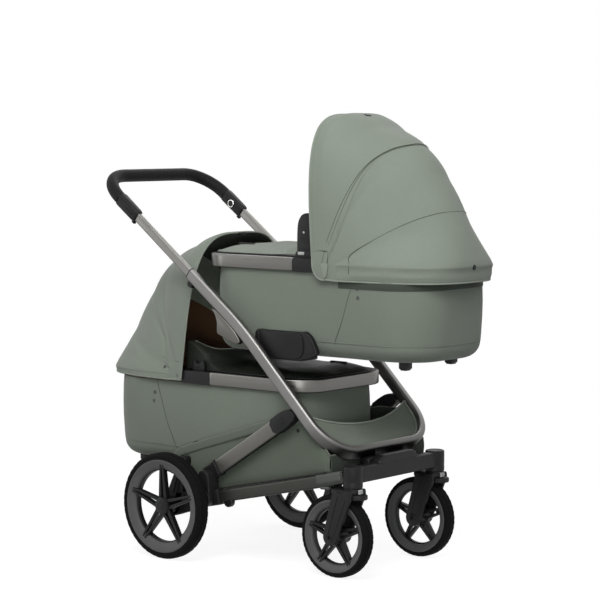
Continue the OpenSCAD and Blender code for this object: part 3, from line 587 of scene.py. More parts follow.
def stitches(b, pts, facing, stitch, mat=0):
    """Row of short threads along a line, each a low arch of three four-cornered rings."""
    length, gap, r, lift = stitch
    pts = np.asarray(pts, float)
    facing = np.broadcast_to(unit(facing), pts.shape)
    run = np.concatenate([[0], np.cumsum(np.linalg.norm(np.diff(pts, axis=0), axis=1))])

    def at(s, rows):
        return np.array([np.interp(s, run, column) for column in rows.T])

    s = gap
    while s + length < run[-1]:
        start, end = at(s, pts), at(s + length, pts)
        up = unit(at(s, facing))
        side = np.cross(up, unit(end - start))
        rings = []
        for middle, w in ((start, 0.35), ((start + end) / 2, 1.0), (end, 0.35)):
            corners = ((1, 0), (0, 1), (-1, 0), (0, -1))
            rings.append([middle + up * (lift * w) + side * r * w * x + up * r * w * y for x, y in corners])
        b.loft(rings, mat=mat)
        s += length + gap


# Cloth

def grid_normals(grid):
    return unit(np.cross(np.gradient(grid, axis=0), np.gradient(grid, axis=1)))


def grid_edge(grid):
    """Points once round a grid's edge."""
    return np.concatenate([grid[0], grid[1:, -1], grid[-1, -2::-1], grid[-2:0:-1, 0]])


def thick(b, grid, t, mats=(0, 0), split=0):
    """Closed skin of thickness t behind a grid, its front; rows before split get a lining of their own."""
    back = grid - grid_normals(grid) * (t[..., None] if np.ndim(t) else t)
    b.loft(grid, closed=False, mat=mats[0], flip=True)
    b.loft(back[split:], closed=False, mat=mats[1])
    if split:
        b.loft(back[:split + 1], closed=False, mat=mats[2])
    b.loft([grid_edge(grid), grid_edge(back)], (False, False), mat=mats[0], flip=True)


def wrinkle(grid, amount, scale, seed=0.0):
    """Soft unevenness of stretched cloth, along the grid's normals."""
    shift = Vector((seed, seed * 0.7, 0))
    height = np.array([[noise.noise(Vector((*(q / scale),)) + shift) for q in row] for row in grid])
    return grid + grid_normals(grid) * (amount * height)[..., None]


def steady(table, q):
    """Smooth curve through a table that never overshoots it."""
    x, y = table[:, 0], table[:, 1]
    h, d = np.diff(x), np.diff(y) / np.diff(x)
    m = np.zeros(len(x))
    m[0], m[-1] = d[0], d[-1]
    for k in range(1, len(x) - 1):
        if d[k - 1] * d[k] > 0:
            a, b = 2 * h[k] + h[k - 1], h[k] + 2 * h[k - 1]
            m[k] = (a + b) / (a / d[k - 1] + b / d[k])
    q = np.clip(q, x[0], x[-1])
    k = np.clip(np.searchsorted(x, q) - 1, 0, len(h) - 1)
    t = (q - x[k]) / h[k]
    start = (1 + 2 * t) * (1 - t) ** 2 * y[k] + t * (1 - t) ** 2 * h[k] * m[k]
    return start + t * t * (3 - 2 * t) * y[k + 1] + t * t * (t - 1) * h[k] * m[k + 1]


def spline(pts, n=12):
    """Smooth line through points."""
    p = np.concatenate([[2 * pts[0] - pts[1]], pts, [2 * pts[-1] - pts[-2]]])
    line = []
    for a, b, c, d in zip(p, p[1:], p[2:], p[3:]):
        for t in np.linspace(0, 1, n, endpoint=False):
            bend = (2 * a - 5 * b + 4 * c - d) * t * t + (3 * b - a - 3 * c + d) * t ** 3
            line.append(0.5 * (2 * b + (c - a) * t + bend))
    return np.array(line + [p[-2]])


# Values of the part

AXLE, REAR_R, REAR_W, REAR_Y = np.array([-220.0, 145.0]), 145.0, 40.0, 288.0
FRONT_AXLE, FRONT_R, FRONT_W, FRONT_Y = np.array([292.0, 109.5]), 109.5, 38.0, 179.0
REAR_HUB, FRONT_HUB, SWIVEL_X = 25.4, 23.4, 343.0
FRAME_Y, LOOP_FALL, MAIN_FALL = 219.0, 45.0, 37.0
LOOP_PT = np.array([307.0, 325.0])
LOOP_LEN, LOOP_CORNER, BEND_R, SOCKET = 370.0, 105.0, 1000.0, 159.0
TUBE_HIGH, TUBE_WIDE, TUBE_ROUND = 33, 21, 7.5
RAIL_REAR, RAIL_FRONT = np.array([-74, 226, 178.0]), np.array([331, 190, 268.0])
RAIL_HIGH, RAIL_WIDE, LEG_DEEP, LEG_WIDE, HINGE_HALF = 33.6, 17.6, 41, 19.6, 14.6
CARRIER_IN, CARRIER_OUT, KNEE_IN, KNEE_OUT = 236, 262, 219, 261
HANDLE_SHOW, SLEEVE, GRIP_REACH, GRIP_CORNER, GRIP_R = 250.0, 77.0, 431.0, 95.0, 17.4
HANDLE_HIGH, HANDLE_WIDE, HANDLE_IN, SLEEVE_HALF = 26.8, 14.8, 52, 14.9
SIDES = (("right", -1), ("left", 1))


def way(fall):
    """Direction down a slope, in the side view."""
    return np.array([math.cos(math.radians(fall)), -math.sin(math.radians(fall))])


def normal(fall):
    """Direction square to a slope, in the side view."""
    return np.array([math.sin(math.radians(fall)), math.cos(math.radians(fall))])


def xz(p, y=0.0):
    """Point of the side view at a place across the part."""
    return np.array([p[0], y, p[1]])


BEND_END = LOOP_PT - LOOP_LEN * way(LOOP_FALL)
BEND_MID = BEND_END - BEND_R * normal(LOOP_FALL)
JOINT = BEND_MID + BEND_R * normal(MAIN_FALL) - SOCKET * way(MAIN_FALL)
JOINT_UP, LOOP_UP = xz(normal(MAIN_FALL)), xz(normal(LOOP_FALL))
LOOP_SIDE = LOOP_LEN - LOOP_CORNER
LEG_FOOT, LEG_TOP = AXLE + (131, 108), BEND_END + (65, -207)
LEG_WAY = unit(LEG_TOP - LEG_FOOT)
LEG_NORMAL = np.array([-LEG_WAY[1], LEG_WAY[0]])


def on_joint(s, rise=0.0):
    """Point s down the upper tube's line from the joint, raised square to it."""
    return JOINT + s * way(MAIN_FALL) + rise * normal(MAIN_FALL)


def on_loop(s, rise=0.0):
    """Point s down the loop's line from the end of the bend, raised square to it."""
    return BEND_END + s * way(LOOP_FALL) + rise * normal(LOOP_FALL)


def on_leg(s, rise=0.0, start=LEG_TOP):
    """Point s up the leg's line, raised square to it."""
    return start + s * LEG_WAY + rise * LEG_NORMAL


def joint_ring(s, y, high, wide, corner):
    """Rounded ring square to the upper tube's line."""
    return [xz(on_joint(s), y) + a * JOINT_UP + c * ACROSS for a, c in rounded(high, wide, corner, 5)]


def rail_line(side):
    """A rail's rear and front ends, and its directions along, across and up."""
    rear, front = RAIL_REAR * (1, side, 1), RAIL_FRONT * (1, side, 1)
    along = unit(front - rear)
    across = unit(np.cross(UPWARD, along))
    return rear, front, along, across, np.cross(along, across)


def u_turn(reach, corner, between, straight=()):
    """Points (reach, y) of a U as wide as the frame, seen flat, and the directions that face out of it."""
    middle = FRAME_Y - corner
    half = [((s, -FRAME_Y), (0, -1)) for s in straight]
    for a in np.radians(np.linspace(0, 90, 15)):
        out = math.sin(a), -math.cos(a)
        half.append(((reach - corner + corner * out[0], corner * out[1] - middle), out))
    half = np.array(half)
    cross = [((reach, y), (1, 0)) for y in np.linspace(-middle, middle, between + 2)[1:-1]]
    path = np.concatenate([half, cross, half[::-1] * (1, -1)])
    return path[:, 0], path[:, 1]


# Frame tubes

def main_tubes():
    """Upper tubes down through the bend, each with its collar, catch and adapter bracket."""
    turn_in = ((0, 0), (-0.9, 0.9), (0.4, 2.6), (14, 2.7))
    collar = ((-3.2, 3.0), (-3.4, 0.6), (-2.8, -0.1), (-0.9, -0.1), (-0.5, 0.6), (-0.5, 3.0))
    catch = [(9, -26), (16, -31), (27, -27), (30, -15), (8, -15)]
    foot = [(-1, 602), (-14, 592), (-82, 617), (-85, 622), (-85, 656)]

    def rings(steps, y, corner):
        return [joint_ring(s, y, TUBE_HIGH - 2 * d, TUBE_WIDE - 2 * d, corner - d / 2) for s, d in steps]

    for name, side in SIDES:
        y = side * FRAME_Y
        line = [(on_joint(s), MAIN_FALL) for s in np.linspace(0, SOCKET, 6)]
        line += [(BEND_MID + BEND_R * normal(a), a) for a in np.linspace(MAIN_FALL, LOOP_FALL, 9)[1:]]
        line += [(on_loop(s), LOOP_FALL) for s in np.linspace(0, LOOP_SIDE, 8)[1:]]
        pts, ups = [xz(p, y) for p, _ in line], [xz(normal(fall)) for _, fall in line]
        b = Build()
        b.sweep(pts, rounded(TUBE_HIGH, TUBE_WIDE, TUBE_ROUND, 5), ups, ACROSS, caps=(False, False))
        # The open upper end turns in to the handle tube
        b.loft(rings(turn_in, y, TUBE_ROUND), (False, False))
        b.skin("main_tube_" + name, "chassis", [BRONZE], "tube_bronze")
        # Dark collar where the handle tube goes in
        b = Build()
        b.loft(rings(collar, y, TUBE_ROUND - 0.3), loop=True)
        b.make("tube_collar_" + name, "chassis", [BLACK], "black_plastic")
        # Catch under the joint
        b = Build()
        b.plate([on_joint(*p) for p in catch], -7, 7, 2.2, place=side_frame(y))
        b.make("handle_catch_" + name, "chassis", [SATIN], "black_plastic")
        # Bracket under the tube that carries the upper cot's adapter
        b = Build()
        outline = [on_joint(112, -15.6), on_joint(212, -15.6)] + foot
        b.plate(smooth_outline(outline, 1), -9.5, 9.5, 2.6, place=side_frame(y))
        b.make("adapter_bracket_" + name, "chassis", [LEG], "tube_bronze")


def front_loop():
    """Loop round the front, taller at the front than at its ends."""
    flat, outward = u_turn(LOOP_LEN, LOOP_CORNER, 7)
    pts = [xz(on_loop(s), y) for s, y in flat]
    last = len(pts) - 1
    rings = []
    for k, (at, (a, c)) in enumerate(zip(pts, outward)):
        grow = ease(min(1, k / 10, (last - k) / 10))
        out = xz(way(LOOP_FALL) * a, c)
        outline = rounded(TUBE_HIGH, TUBE_WIDE, TUBE_ROUND, 5)
        rings.append([at + LOOP_UP * (u * (1 + 0.3 * grow) - 4 * grow) + out * v for u, v in outline])
    b = Build()
    b.loft(rings, (False, False))
    # Painted shade: the colour darkens towards the loop's low front, to 0.42 of it there
    reach = (pts[last // 2][2] * MM, pts[0][2] * MM, 0.42)
    bronze = metal("loop_tube_painted_shade", BRONZE_RGB, BRONZE_ROUGH, TUBE_STREAK, reach)
    b.skin("front_loop", "chassis", [bronze], "tube_bronze")


def front_flap():
    """Cloth stretched in the loop: sags a little, with a bound hem and a rolled edge along the tube."""
    inside = 10.9
    half, corner, end = FRAME_Y - inside, LOOP_CORNER - inside, LOOP_LEN - inside
    top_at, top_r = 285, 503
    cols, rows = 49, 15

    def bottom(y):
        d = abs(y) - (half - corner)
        return end if d <= 0 else end - corner + math.sqrt(max(0, corner ** 2 - d * d))

    def top(y):
        return top_at - top_r + math.sqrt(top_r ** 2 - y * y)

    def point(v, u):
        y = half * u * 0.999
        s = top(y) + v * (bottom(y) - top(y))
        sag = -9.0 * math.sin(math.pi * min(1, 0.15 + 0.85 * v)) * (1 - u * u) ** 0.6
        roll = -1.5 + 3.0 * (1 - v) ** 4
        ripple = 0.8 * noise.noise(Vector((y / 60, s / 40, 1.7)))
        return xz(on_loop(s, sag + roll + ripple), y)

    shares = [math.sin(a) for a in np.linspace(-math.pi / 2, math.pi / 2, cols)]
    grid = np.array([[point(v, u) for u in shares] for v in np.linspace(0, 1, rows)])
    b = Build()
    thick(b, grid, 2.6, (0, 1))
    # The flap's darker cloth holds painted shade of the upper cot
    obj = b.make("front_flap_cloth", "chassis", [FLAP, LINING], "sage_cloth", 60, ["front_flap"])
    hem = Build()
    hem.tube(grid[0] + LOOP_UP * 0.4, 2.6, 8)
    edge = np.concatenate([grid[:, 0], grid[-1, 1:-1], grid[::-1, -1]])
    hem.tube(edge + LOOP_UP * 1.6, 2.4, 8)
    stitches(hem, grid[1] * 0.45 + grid[0] * 0.55 + LOOP_UP * 0.3, LOOP_UP, FLAP_STITCH, 1)
    h = hem.make("front_flap_binding", "chassis", [PIPING, THREAD_AND_SHADE], "sage_cloth", 70)


def legs():
    """Legs from the axle's carriers up, each with the moulded hinge block below the main tube."""
    length, past = np.linalg.norm(LEG_TOP - LEG_FOOT), 6
    block, under_tube = [(0, -21), (0, 21), (40, 23), (66, 21), (86, 12), (70, -20), (45, -22)], slice(4, 6)
    panel = [(8, -14), (8, 14), (52, 15), (52, -14)]

    def cut(p):
        """Drops a point square to the loop's line, to just under the tube."""
        return p - (np.dot(p - BEND_END, normal(LOOP_FALL)) + 15.5) * normal(LOOP_FALL)

    for name, side in SIDES:
        y = side * FRAME_Y
        b = Build()
        pts = [xz(on_leg(s, start=LEG_FOOT), y) for s in np.linspace(-past, length + past, 6)]
        b.sweep(pts, rounded(LEG_DEEP, LEG_WIDE, 4.5, 4), xz(LEG_NORMAL), ACROSS)
        b.skin("leg_" + name, "chassis", [LEG], "tube_silver")
        b = Build()
        outline = [on_leg(*p) for p in block]
        outline[under_tube] = [cut(p) for p in outline[under_tube]]
        b.plate(smooth_outline(outline, 1), -HINGE_HALF, HINGE_HALF, 2.0, place=side_frame(y))
        # Shallow panel on the outer face
        low, high = span(-side, HINGE_HALF - 2, HINGE_HALF + 0.9)
        b.plate(smooth_outline([on_leg(*p) for p in panel], 2), low, high, 0.8, 1, side_frame(y))
        b.skin("leg_hinge_" + name, "chassis", [BLACK, SATIN], "black_plastic")


def rails():
    """Lower rails, each with a clip folded round it near the caster, a rub strip and a foot."""
    for name, side in SIDES:
        rear, front, along, across, up = rail_line(side)
        end = front - along * 6
        b = Build()
        b.sweep(np.linspace(rear, end, 6), rounded(RAIL_HIGH, RAIL_WIDE, 6, 4), up, across)
        b.skin("rail_" + name, "chassis", [BEAM], "tube_bronze")
        b = Build()
        middle = rear + (front - rear) * 0.875
        clip = [middle + along * s + up * 5 for s in (-36, 36)]
        b.sweep(clip, rounded(27, 21.5, 7, 4), up, across, round_ends=3)
        strip = [middle - along * 30 - up * 16, middle - along * 8 - up * 20]
        b.sweep(strip, rounded(10, 16, 4, 3), up, across, round_ends=3)
        b.make("rail_clip_" + name, "chassis", [CLIP], "grey_plastic")
        b = Build()
        foot = [(0, -8), (13, -8), (15, -6), (15, 6), (13, 8), (0, 8)]
        b.lathe(foot, 28, 0, turned(rear + along * 26 - up * 17, "X"))
        b.make("rail_foot_" + name, "chassis", [SATIN], "black_plastic")


def carriers():
    """Moulded carriers between the rear axle, the leg and the rail."""
    tip, nose, knee = AXLE + (38, 124), AXLE + (112, 28), AXLE + (112, 84)
    up = unit(tip - AXLE)
    over = np.array([-up[1], up[0]])
    # Each socket's ends along the leg, its height, width, end rounding and material
    sockets = ((-38, 0, LEG_DEEP + 1, 30, 2.5, 0), (-3, 5, LEG_DEEP + 4, 32, 2, 1))
    for name, side in SIDES:
        b = Build()
        for p, r in ((tip, 12), (nose, 24)):
            b.plate(capsule(AXLE, p, 32, r), *span(-side, CARRIER_IN, CARRIER_OUT), 3.5, place=side_frame())
        b.plate(capsule(nose, knee, 24, 20), *span(-side, KNEE_IN, KNEE_OUT), 3.5, place=side_frame())
        for low, high, deep, wide, r, mat in sockets:
            pts = [xz(on_leg(s, start=LEG_FOOT), side * FRAME_Y) for s in (low, high)]
            b.sweep(pts, rounded(deep, wide, 7, 4), xz(LEG_NORMAL), ACROSS, mat=mat, round_ends=r)
        rear, _, along, across, rail_up = rail_line(side)
        b.sweep([rear - along * 60, rear], rounded(44, 28, 6, 4), rail_up, across, round_ends=3)
        # Stiffening ribs on the outer face
        for d in (-0.3, 0.3):
            rib = [AXLE + up * s + over * wide * d for s, wide in ((36, 20), (80, 16), (124, 12))]
            b.tube([xz(p, side * (CARRIER_OUT + 0.6)) for p in rib], 2.2, 8)
        b.skin("carrier_" + name, "chassis", [BLACK, SATIN], "black_plastic")


# Wheels and casters

SPOKES, RING_IN, RING_OUT, SPOKE_TIP = 5, 0.692, 0.86, 0.785


def both_faces(half):
    """Profile of one face, carried on to the other."""
    return [(r, -z) for r, z in half] + [(r, z) for r, z in reversed(half)]


def tyre(name, body, r, h, place):
    """Tyre with a grooved tread and short cuts in its shoulders."""
    seat, crown = RING_OUT * r + 0.2, 0.9985 * r
    half = [
        (seat, h - 4.5), (seat + 0.4, h - 2.6), (0.878 * r, h - 1.9), (0.888 * r, h - 0.7),
        (0.92 * r, h - 0.2), (0.95 * r, h - 0.8), (0.97 * r, h - 2.2), (0.984 * r, h - 4.6),
        (0.993 * r, h - 7.2), (0.9975 * r, h - 10.2), (crown, h - 10.6), (crown - 1.6, h - 11.0),
        (crown - 1.6, h - 13.0), (crown, h - 13.4)]
    profile = both_faces(half)
    profile.insert(len(half), (r, 0))
    last = len(profile) - 1

    def cut(row, col):
        shoulder = 6 <= min(row, last - row) <= 9
        return -0.9 if shoulder and (col + (2 if row > last / 2 else 0)) % 4 == 0 else 0.0

    b = Build()
    b.lathe(profile + [(seat, h - 6), (seat, 6 - h)], 180, 0, place, cut, closed=True)
    b.skin(name, body, [RUBBER], "tyre_rubber", 30)


def wheel_ring(name, body, r, h, place):
    """Dished ring with a flange on each face that covers the tyre's side."""
    o, e = RING_OUT * r - 0.4, RING_IN * r
    face = [
        (o, h - 5), (o - 0.6, h - 2.2), (o - 2.6, h - 1.6), (e + 7.5, h - 5.2), (e + 3, h - 7),
        (e + 0.8, h - 9.5), (e, h - 13)]
    flange = [
        (o - 4, h - 1.9), (0.874 * r, h - 1.7), (0.876 * r, h - 1.1), (0.871 * r, h - 0.5),
        (RING_OUT * r, h - 0.4), (o - 4, h - 1.4)]
    b = Build()
    b.lathe(both_faces(face), 120, 0, place, closed=True)
    for turn in (0, 180):
        b.lathe(flange, 120, 0, place @ turned((0, 0, 0), "X", turn), closed=True)
    b.skin(name, body, [GREY], "grey_plastic", 30)


def spider(name, body, r, h, side, hub, outer, place):
    """Dark barrel in the ring, and five spokes of two ribs each on a hub with a cap at its outer end."""
    e, tip = RING_IN * r, SPOKE_TIP * r
    facing = place @ turned((0, 0, 0), "X", 180 if side > 0 else 0)
    b = Build()
    barrel = [(e - 0.2, -h + 12), (e - 3.2, -h + 14), (e - 3.6, 0), (e - 3.2, h - 14), (e - 0.2, h - 12)]
    b.lathe(barrel, 120, 0, place, closed=True)
    drum = [
        (6.05, -hub), (20, -hub), (23.2, -hub + 2), (24, -hub + 5), (24, outer - 5), (23.2, outer - 2),
        (20, outer), (6.05, outer)]
    b.lathe(drum, 64, 0, facing, closed=True)
    # Ribs run from the hub to the ring: place along the spoke, near edge and far edge
    start, end = np.array([19, 4.8, 14.4]), np.array([tip, 1.0, 7.0])
    for k in range(SPOKES):
        spoke = facing @ turned((0, 0, 0), "Z", 360 / SPOKES * k - 90 * side)
        for s in (-1, 1):
            rings = []
            for t in np.linspace(0, 1, 6):
                x, near, far = start + (end - start) * t
                z = h - 15.5 + 4.6 * t
                outline = rounded(far - near, 16, 1.6, 3)
                rings.append([(x, s * (near + far) / 2 + u, v + z) for u, v in outline])
            b.loft(rings, place=spoke)
        web = ((0.66 * tip, 4.0), (0.8 * tip, 3.4), (tip - 3, 2.0))
        b.loft([[(x, u, v + h - 14) for u, v in rounded(2 * w, 5, 0.6, 2)] for x, w in web], place=spoke)
    cap = [(22.2, -0.3), (22.2, 0.9), (21.0, 1.6), (8.5, 1.7), (7.8, 1.1), (7.8, 0.2)]
    b.lathe([(a, outer + z) for a, z in cap], 48, 1, facing)
    button = [(7.6, 0.2), (7.6, 1.5), (6.6, 2.1), (0, 2.1)]
    b.lathe([(a, outer + z) for a, z in button], 36, 2, facing)
    b.skin(name, body, [DARK, SATIN, BLACK], "black_plastic", 32)


def wheels():
    """A rear and a front wheel on each side, each of a tyre, a ring and a spider."""
    for name, side in SIDES:
        for prefix, axle, y, r, w, hub in (
                ("rear", AXLE, REAR_Y, REAR_R, REAR_W, REAR_HUB),
                ("front", FRONT_AXLE, FRONT_Y, FRONT_R, FRONT_W, FRONT_HUB)):
            h = w / 2
            place = side_frame(side * y, *axle)
            body = prefix + "_wheel_" + name
            tyre(prefix + "_tyre_" + name, body, r, h, place)
            wheel_ring(prefix + "_ring_" + name, body, r, h, place)
            outer = hub if prefix == "front" else h - 3.5
            spider(prefix + "_spider_" + name, body, r, h, side, hub, outer, place)


FORK_TOP, FORK_HEAD, FORK_NEAR, FORK_FAR = 240.6, 17.0, 24.0, 33.0


def mirrored(points):
    """Plan outline from its points on one side of the middle line."""
    return points + [(x, -y) for x, y in reversed(points) if y]


def fork(name, side):
    """Round head and bridge over the wheel, with an arm down each side of it to the axle."""
    y, top, low = side * FRONT_Y, FORK_TOP, FORK_TOP - FORK_HEAD
    middle = Matrix.Translation((SWIVEL_X, y, 0))
    b = Build()
    head = [
        (0, low - 1), (23, low - 1), (24, low + 2), (24.4, low + 5), (24.4, top - 2), (23.4, top - 0.4),
        (0, top - 0.4)]
    b.lathe(head, 56, 0, middle)
    bridge = [(-53, -20), (-48, -FORK_FAR), (8, -FORK_FAR), (20, -20), (24, -9)]
    b.plate(smooth_outline(mirrored(bridge), 2), low, top - 3, 5.0, place=middle)
    lip = [(8, 0), (14, -27), (34, -20), (42, -8)]
    b.plate(smooth_outline(mirrored(lip), 2), low - 12, low + 1.5, 3.6, place=middle)
    arm = capsule((SWIVEL_X - 12, low + 2), FRONT_AXLE, 31.0, 23.0, 16)
    arm[:, 1] = np.minimum(arm[:, 1], top - 4.0)
    upper, lower = np.array([SWIVEL_X - 13, low - 8]), FRONT_AXLE + (4, 8)
    along = unit(lower - upper)
    over = np.array([-along[1], along[0]])
    for s in (-1, 1):
        b.plate(arm, *sorted((-y - s * FORK_NEAR, -y - s * FORK_FAR)), 2.8, place=side_frame())
        # Raised edges along the arm, the axle's bolt and a pin
        face = y + s * (FORK_FAR + 0.4)
        for e in (-13, 13):
            ends = xz(upper + over * e, face - s * 0.5), xz(lower + over * e * 0.72, face - s * 0.5)
            b.tube([ends[0], xz((upper + lower) / 2 + over * e * 0.92, face), ends[1]], 1.3, 8)
        place = turned(xz(FRONT_AXLE, y + s * 32.6), "X", -90 * s)
        b.lathe([(11.5, 0), (11.5, 1.2), (10.4, 2.0), (7.6, 2.0), (7.2, 1.2)], 32, 1, place)
        bolt(b, place, 7.2, 3.6, 1)
        pin = turned((SWIVEL_X - 6, y + s * 32.8, low - 22), "X", -90 * s)
        b.lathe([(2.4, 0), (2.4, 0.6), (1.6, 0.9), (0, 0.4)], 16, 1, pin)
    b.skin("fork_" + name, "caster_" + name, [BLACK, SATIN], "black_plastic", 32)


def fork_button(name, side):
    """Ribbed lock button at the front of the fork's head."""
    y, z = side * FRONT_Y, FORK_TOP - FORK_HEAD / 2
    b = Build()
    b.box((SWIVEL_X + 22.4, y - 7.5, z - 6), (SWIVEL_X + 28, y + 7.5, z + 6), 1.6)
    for rib in (z - 3, z, z + 3):
        b.box((SWIVEL_X + 27.4, y - 5.6, rib - 0.5), (SWIVEL_X + 28.5, y + 5.6, rib + 0.5), 0.4)
    b.skin("fork_button_" + name, "fork_button_" + name, [PALE], "pale_plastic", 40)


def crossbar():
    """Bar between the casters, with their round housings, the loop's saddles and a cover on top."""
    x, bar_z, cover_z = SWIVEL_X, 273, 288
    bar_wide, bar_high, cover_wide = 34, 42, 28
    housing = [
        (10.1, 241), (24.6, 241), (26, 242.4), (26, 256), (25.5, 257), (25.5, 259), (26, 260), (26, 294),
        (25, 297), (22.6, 298), (19, 298), (18.4, 297.2), (0, 297.2)]
    b = Build()
    bar = [(x, y, bar_z) for y in (-172, -120, -60, 0, 60, 120, 172)]
    b.sweep(bar, rounded(bar_wide, bar_high, 6, 4), (1, 0, 0), UPWARD)
    for side in (-1, 1):
        b.lathe(housing, 64, 0, Matrix.Translation((x, side * FRONT_Y, 0)))
        near, far = span(side, 28, 92)
        b.box((x - 44, near, 262), (x - 16, far, 306), 4)
        bolt(b, turned((x - 15.4, side * 62, 286), "Y"), 5, 2.4, 1)
    b.skin("crossbar", "chassis", [BLACK, SATIN], "black_plastic", 32)
    # Place across and height of the cover's rings, up to its middle
    ends = [(-85, 6.2), (-82, 11), (-74, 21), (-66, 25.4), (-50, 26)]
    rings = []
    for y, high in ends + [(-y, high) for y, high in reversed(ends)]:
        rings.append([(x + u, y, cover_z + high / 2 + v) for u, v in rounded(cover_wide, high, 4.5, 4)])
    b = Build()
    b.loft(rings)
    b.skin("crossbar_cover", "chassis", [SATIN], "black_plastic", 32)


# Handle

def handle_side(name, side):
    """One side of the handle: the sliding tube, and the sleeve above it with its button and screw."""
    y, foot = side * FRAME_Y, -HANDLE_SHOW
    b = Build()
    pts = [xz(on_joint(s), y) for s in np.linspace(foot - 4, HANDLE_IN, 7)]
    b.sweep(pts, rounded(HANDLE_HIGH, HANDLE_WIDE, 5.6, 5), JOINT_UP, ACROSS)
    b.skin("handle_tube_" + name, "handle", [SILVER], "tube_silver")
    b = Build()
    # Distance up the sleeve, height and width
    sleeve = (
        (-3, 33.6, 22), (1, 35.6, 25), (5, 36.6, 27), (40, 37, 29.4), (70, 37, 30.4), (SLEEVE, 36, 31.4))
    b.loft([joint_ring(foot - s, y, high, wide, 0.36 * min(high, wide)) for s, high, wide in sleeve])
    # Split line and rear lug
    b.tube([xz(on_joint(foot - s), y + side * SLEEVE_HALF) for s in (8, 40, 72)], 0.7, 6, 1)
    lug = [(6, -17), (-2, -17), (-4, -23), (5, -23)]
    b.plate([on_joint(foot - s, rise) for s, rise in lug], -6, 6, 1.5, 1, side_frame(y))
    b.skin("handle_sleeve_" + name, "handle", [BLACK, SATIN], "black_plastic", 34)
    # Button with its bright ring on the inner face
    inner = y - side * SLEEVE_HALF
    place = turned(xz(on_joint(foot - SLEEVE / 2), inner + side * 0.3), "X", 90 * side)
    b = Build()
    b.lathe([(11.6, -1), (11.6, 1.4), (10.6, 2.2), (9.2, 2.2), (8.8, 1.0)], 40, 0, place)
    b.lathe([(8.8, 0.8), (8.6, 2.0), (7.6, 2.6), (4, 2.3), (0, 2.2)], 40, 1, place)
    b.skin("handle_button_" + name, "handle_button_" + name, [CHROME, SATIN], "grey_plastic", 34)
    b = Build()
    place = turned(xz(on_joint(foot - 62), inner - side * 0.1), "X", 90 * side)
    b.lathe([(3.4, 0), (3.2, 0.8), (0, 1.1)], 20, 0, place)
    b.make("handle_screw_" + name, "handle", [SATIN], "black_plastic")


def handle_grip():
    """One padded sleeve round the whole grip, with a seam, stitching and bound ends."""
    straight = np.linspace(HANDLE_SHOW + SLEEVE, GRIP_REACH - GRIP_CORNER, 4)[:-1]
    flat, outward = u_turn(GRIP_REACH, GRIP_CORNER, 11, straight)
    pts = np.array([xz(on_joint(-s), y) for s, y in flat])
    side = np.array([xz(way(MAIN_FALL) * -a, c) for a, c in outward])
    b = Build()
    rings = []
    for k, (at, out) in enumerate(zip(pts, side)):
        puff = 1 + 0.012 * noise.noise(Vector((k * 0.6, 2.0, 0)))
        rings.append([at + puff * (u * JOINT_UP + v * out) for u, v in circle(GRIP_R, 28)])
    b.loft(rings, flip=True)
    b.tube(pts + side * -12.5 - JOINT_UP * 12.5, 0.9, 6, 1)
    for off in (3.0, -3.0):
        a = math.radians(225) + off / GRIP_R
        facing = math.cos(a) * side + math.sin(a) * JOINT_UP
        stitches(b, pts + GRIP_R * facing, facing, PAD_STITCH, 1)
    for at, out in ((pts[0], side[0]), (pts[-1], side[-1])):
        b.tube([at + u * JOINT_UP + v * out for u, v in circle(GRIP_R - 0.1, 28)], 0.9, 6, loop=True)
    g = b.make("handle_grip_sleeve", "handle", [GRIP, SATIN], "grip_leather", 50, ["handle_grip"])


main_tubes()
front_loop()
front_flap()
legs()
rails()
carriers()
wheels()
for _name, _side in SIDES:
    fork(_name, _side)
    fork_button(_name, _side)
crossbar()
for _name, _side in SIDES:
    handle_side(_name, _side)
handle_grip()
for _node, _look in (("rear_axle", BLACK), ("brake_pedal", SATIN)):
    _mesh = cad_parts[_node].data
    _mesh.materials.clear()
    _mesh.materials.append(_look)

# Cots and hoods

COT_L, COT_W, COT_DEPTH, RAIL_H, RIM_T = 745.0, 380.0, 260.0, 36.0, 14.0
COT_X, FOOT_R, HEAD_R = 182.0, 95, 130
TUB_GAP, TUB_HALF, TUB_FOOT, TUB_DEEP = 26, 180, -219, 224
TUB_START, TUB_LOW = TUB_GAP - COT_L / 2, -COT_DEPTH
HOOD_X, HOOD_Z, WALL_R = 76.0, -16.0, 38.5
HOOD_HALF, CLOTH, NEST, SEAM_AT = 192.9, 2.5, 0.8, 0.67
HOOD_COLS, HOOD_MID = 97, 48
# Opening angle, visor's length and height of the hem below the hinge
UPPER_HOOD, LOWER_HOOD = (94.0, 38.0, 39.0), (97.5, 11.0, 14.0)
REACH = np.array([
    (0, 337), (0.14, 322), (0.28, 314), (0.47, 321), (0.57, 337),
    (0.67, 347), (0.76, 349), (0.86, 355), (0.94, 376), (1, 391)], float)
# Lines on a hood, as share of the arch from its foot against share of the opening
ZIP_REAR = np.array([
    (0, 0.62), (0.045, 0.66), (0.095, 0.695), (0.167, 0.72), (0.235, 0.726),
    (0.305, 0.722), (0.367, 0.705), (0.42, 0.684), (0.5, 0.668)], float)
ZIP_FRONT = np.array([
    (0, 0.875), (0.045, 0.805), (0.112, 0.775), (0.185, 0.76), (0.262, 0.742),
    (0.338, 0.717), (0.4, 0.695), (0.443, 0.679), (0.5, 0.673)], float)
REAR_SEAM = np.array([
    (0.022, -0.5), (0.03, 0.05), (0.043, 0.17), (0.065, 0.24), (0.127, 0.275),
    (0.203, 0.29), (0.29, 0.295), (0.392, 0.29), (0.5, 0.283)], float)
LOW_FOLD = np.array([
    (0, 0.2), (0.02, 0.29), (0.05, 0.485), (0.083, 0.56), (0.138, 0.54),
    (0.208, 0.50), (0.302, 0.47), (0.5, 0.45)], float)
SIDE_SEAM = np.array([(-240, 92), (-219, 99), (-160, 126), (-92, 149), (-43, 166), (-30, 168)], float)
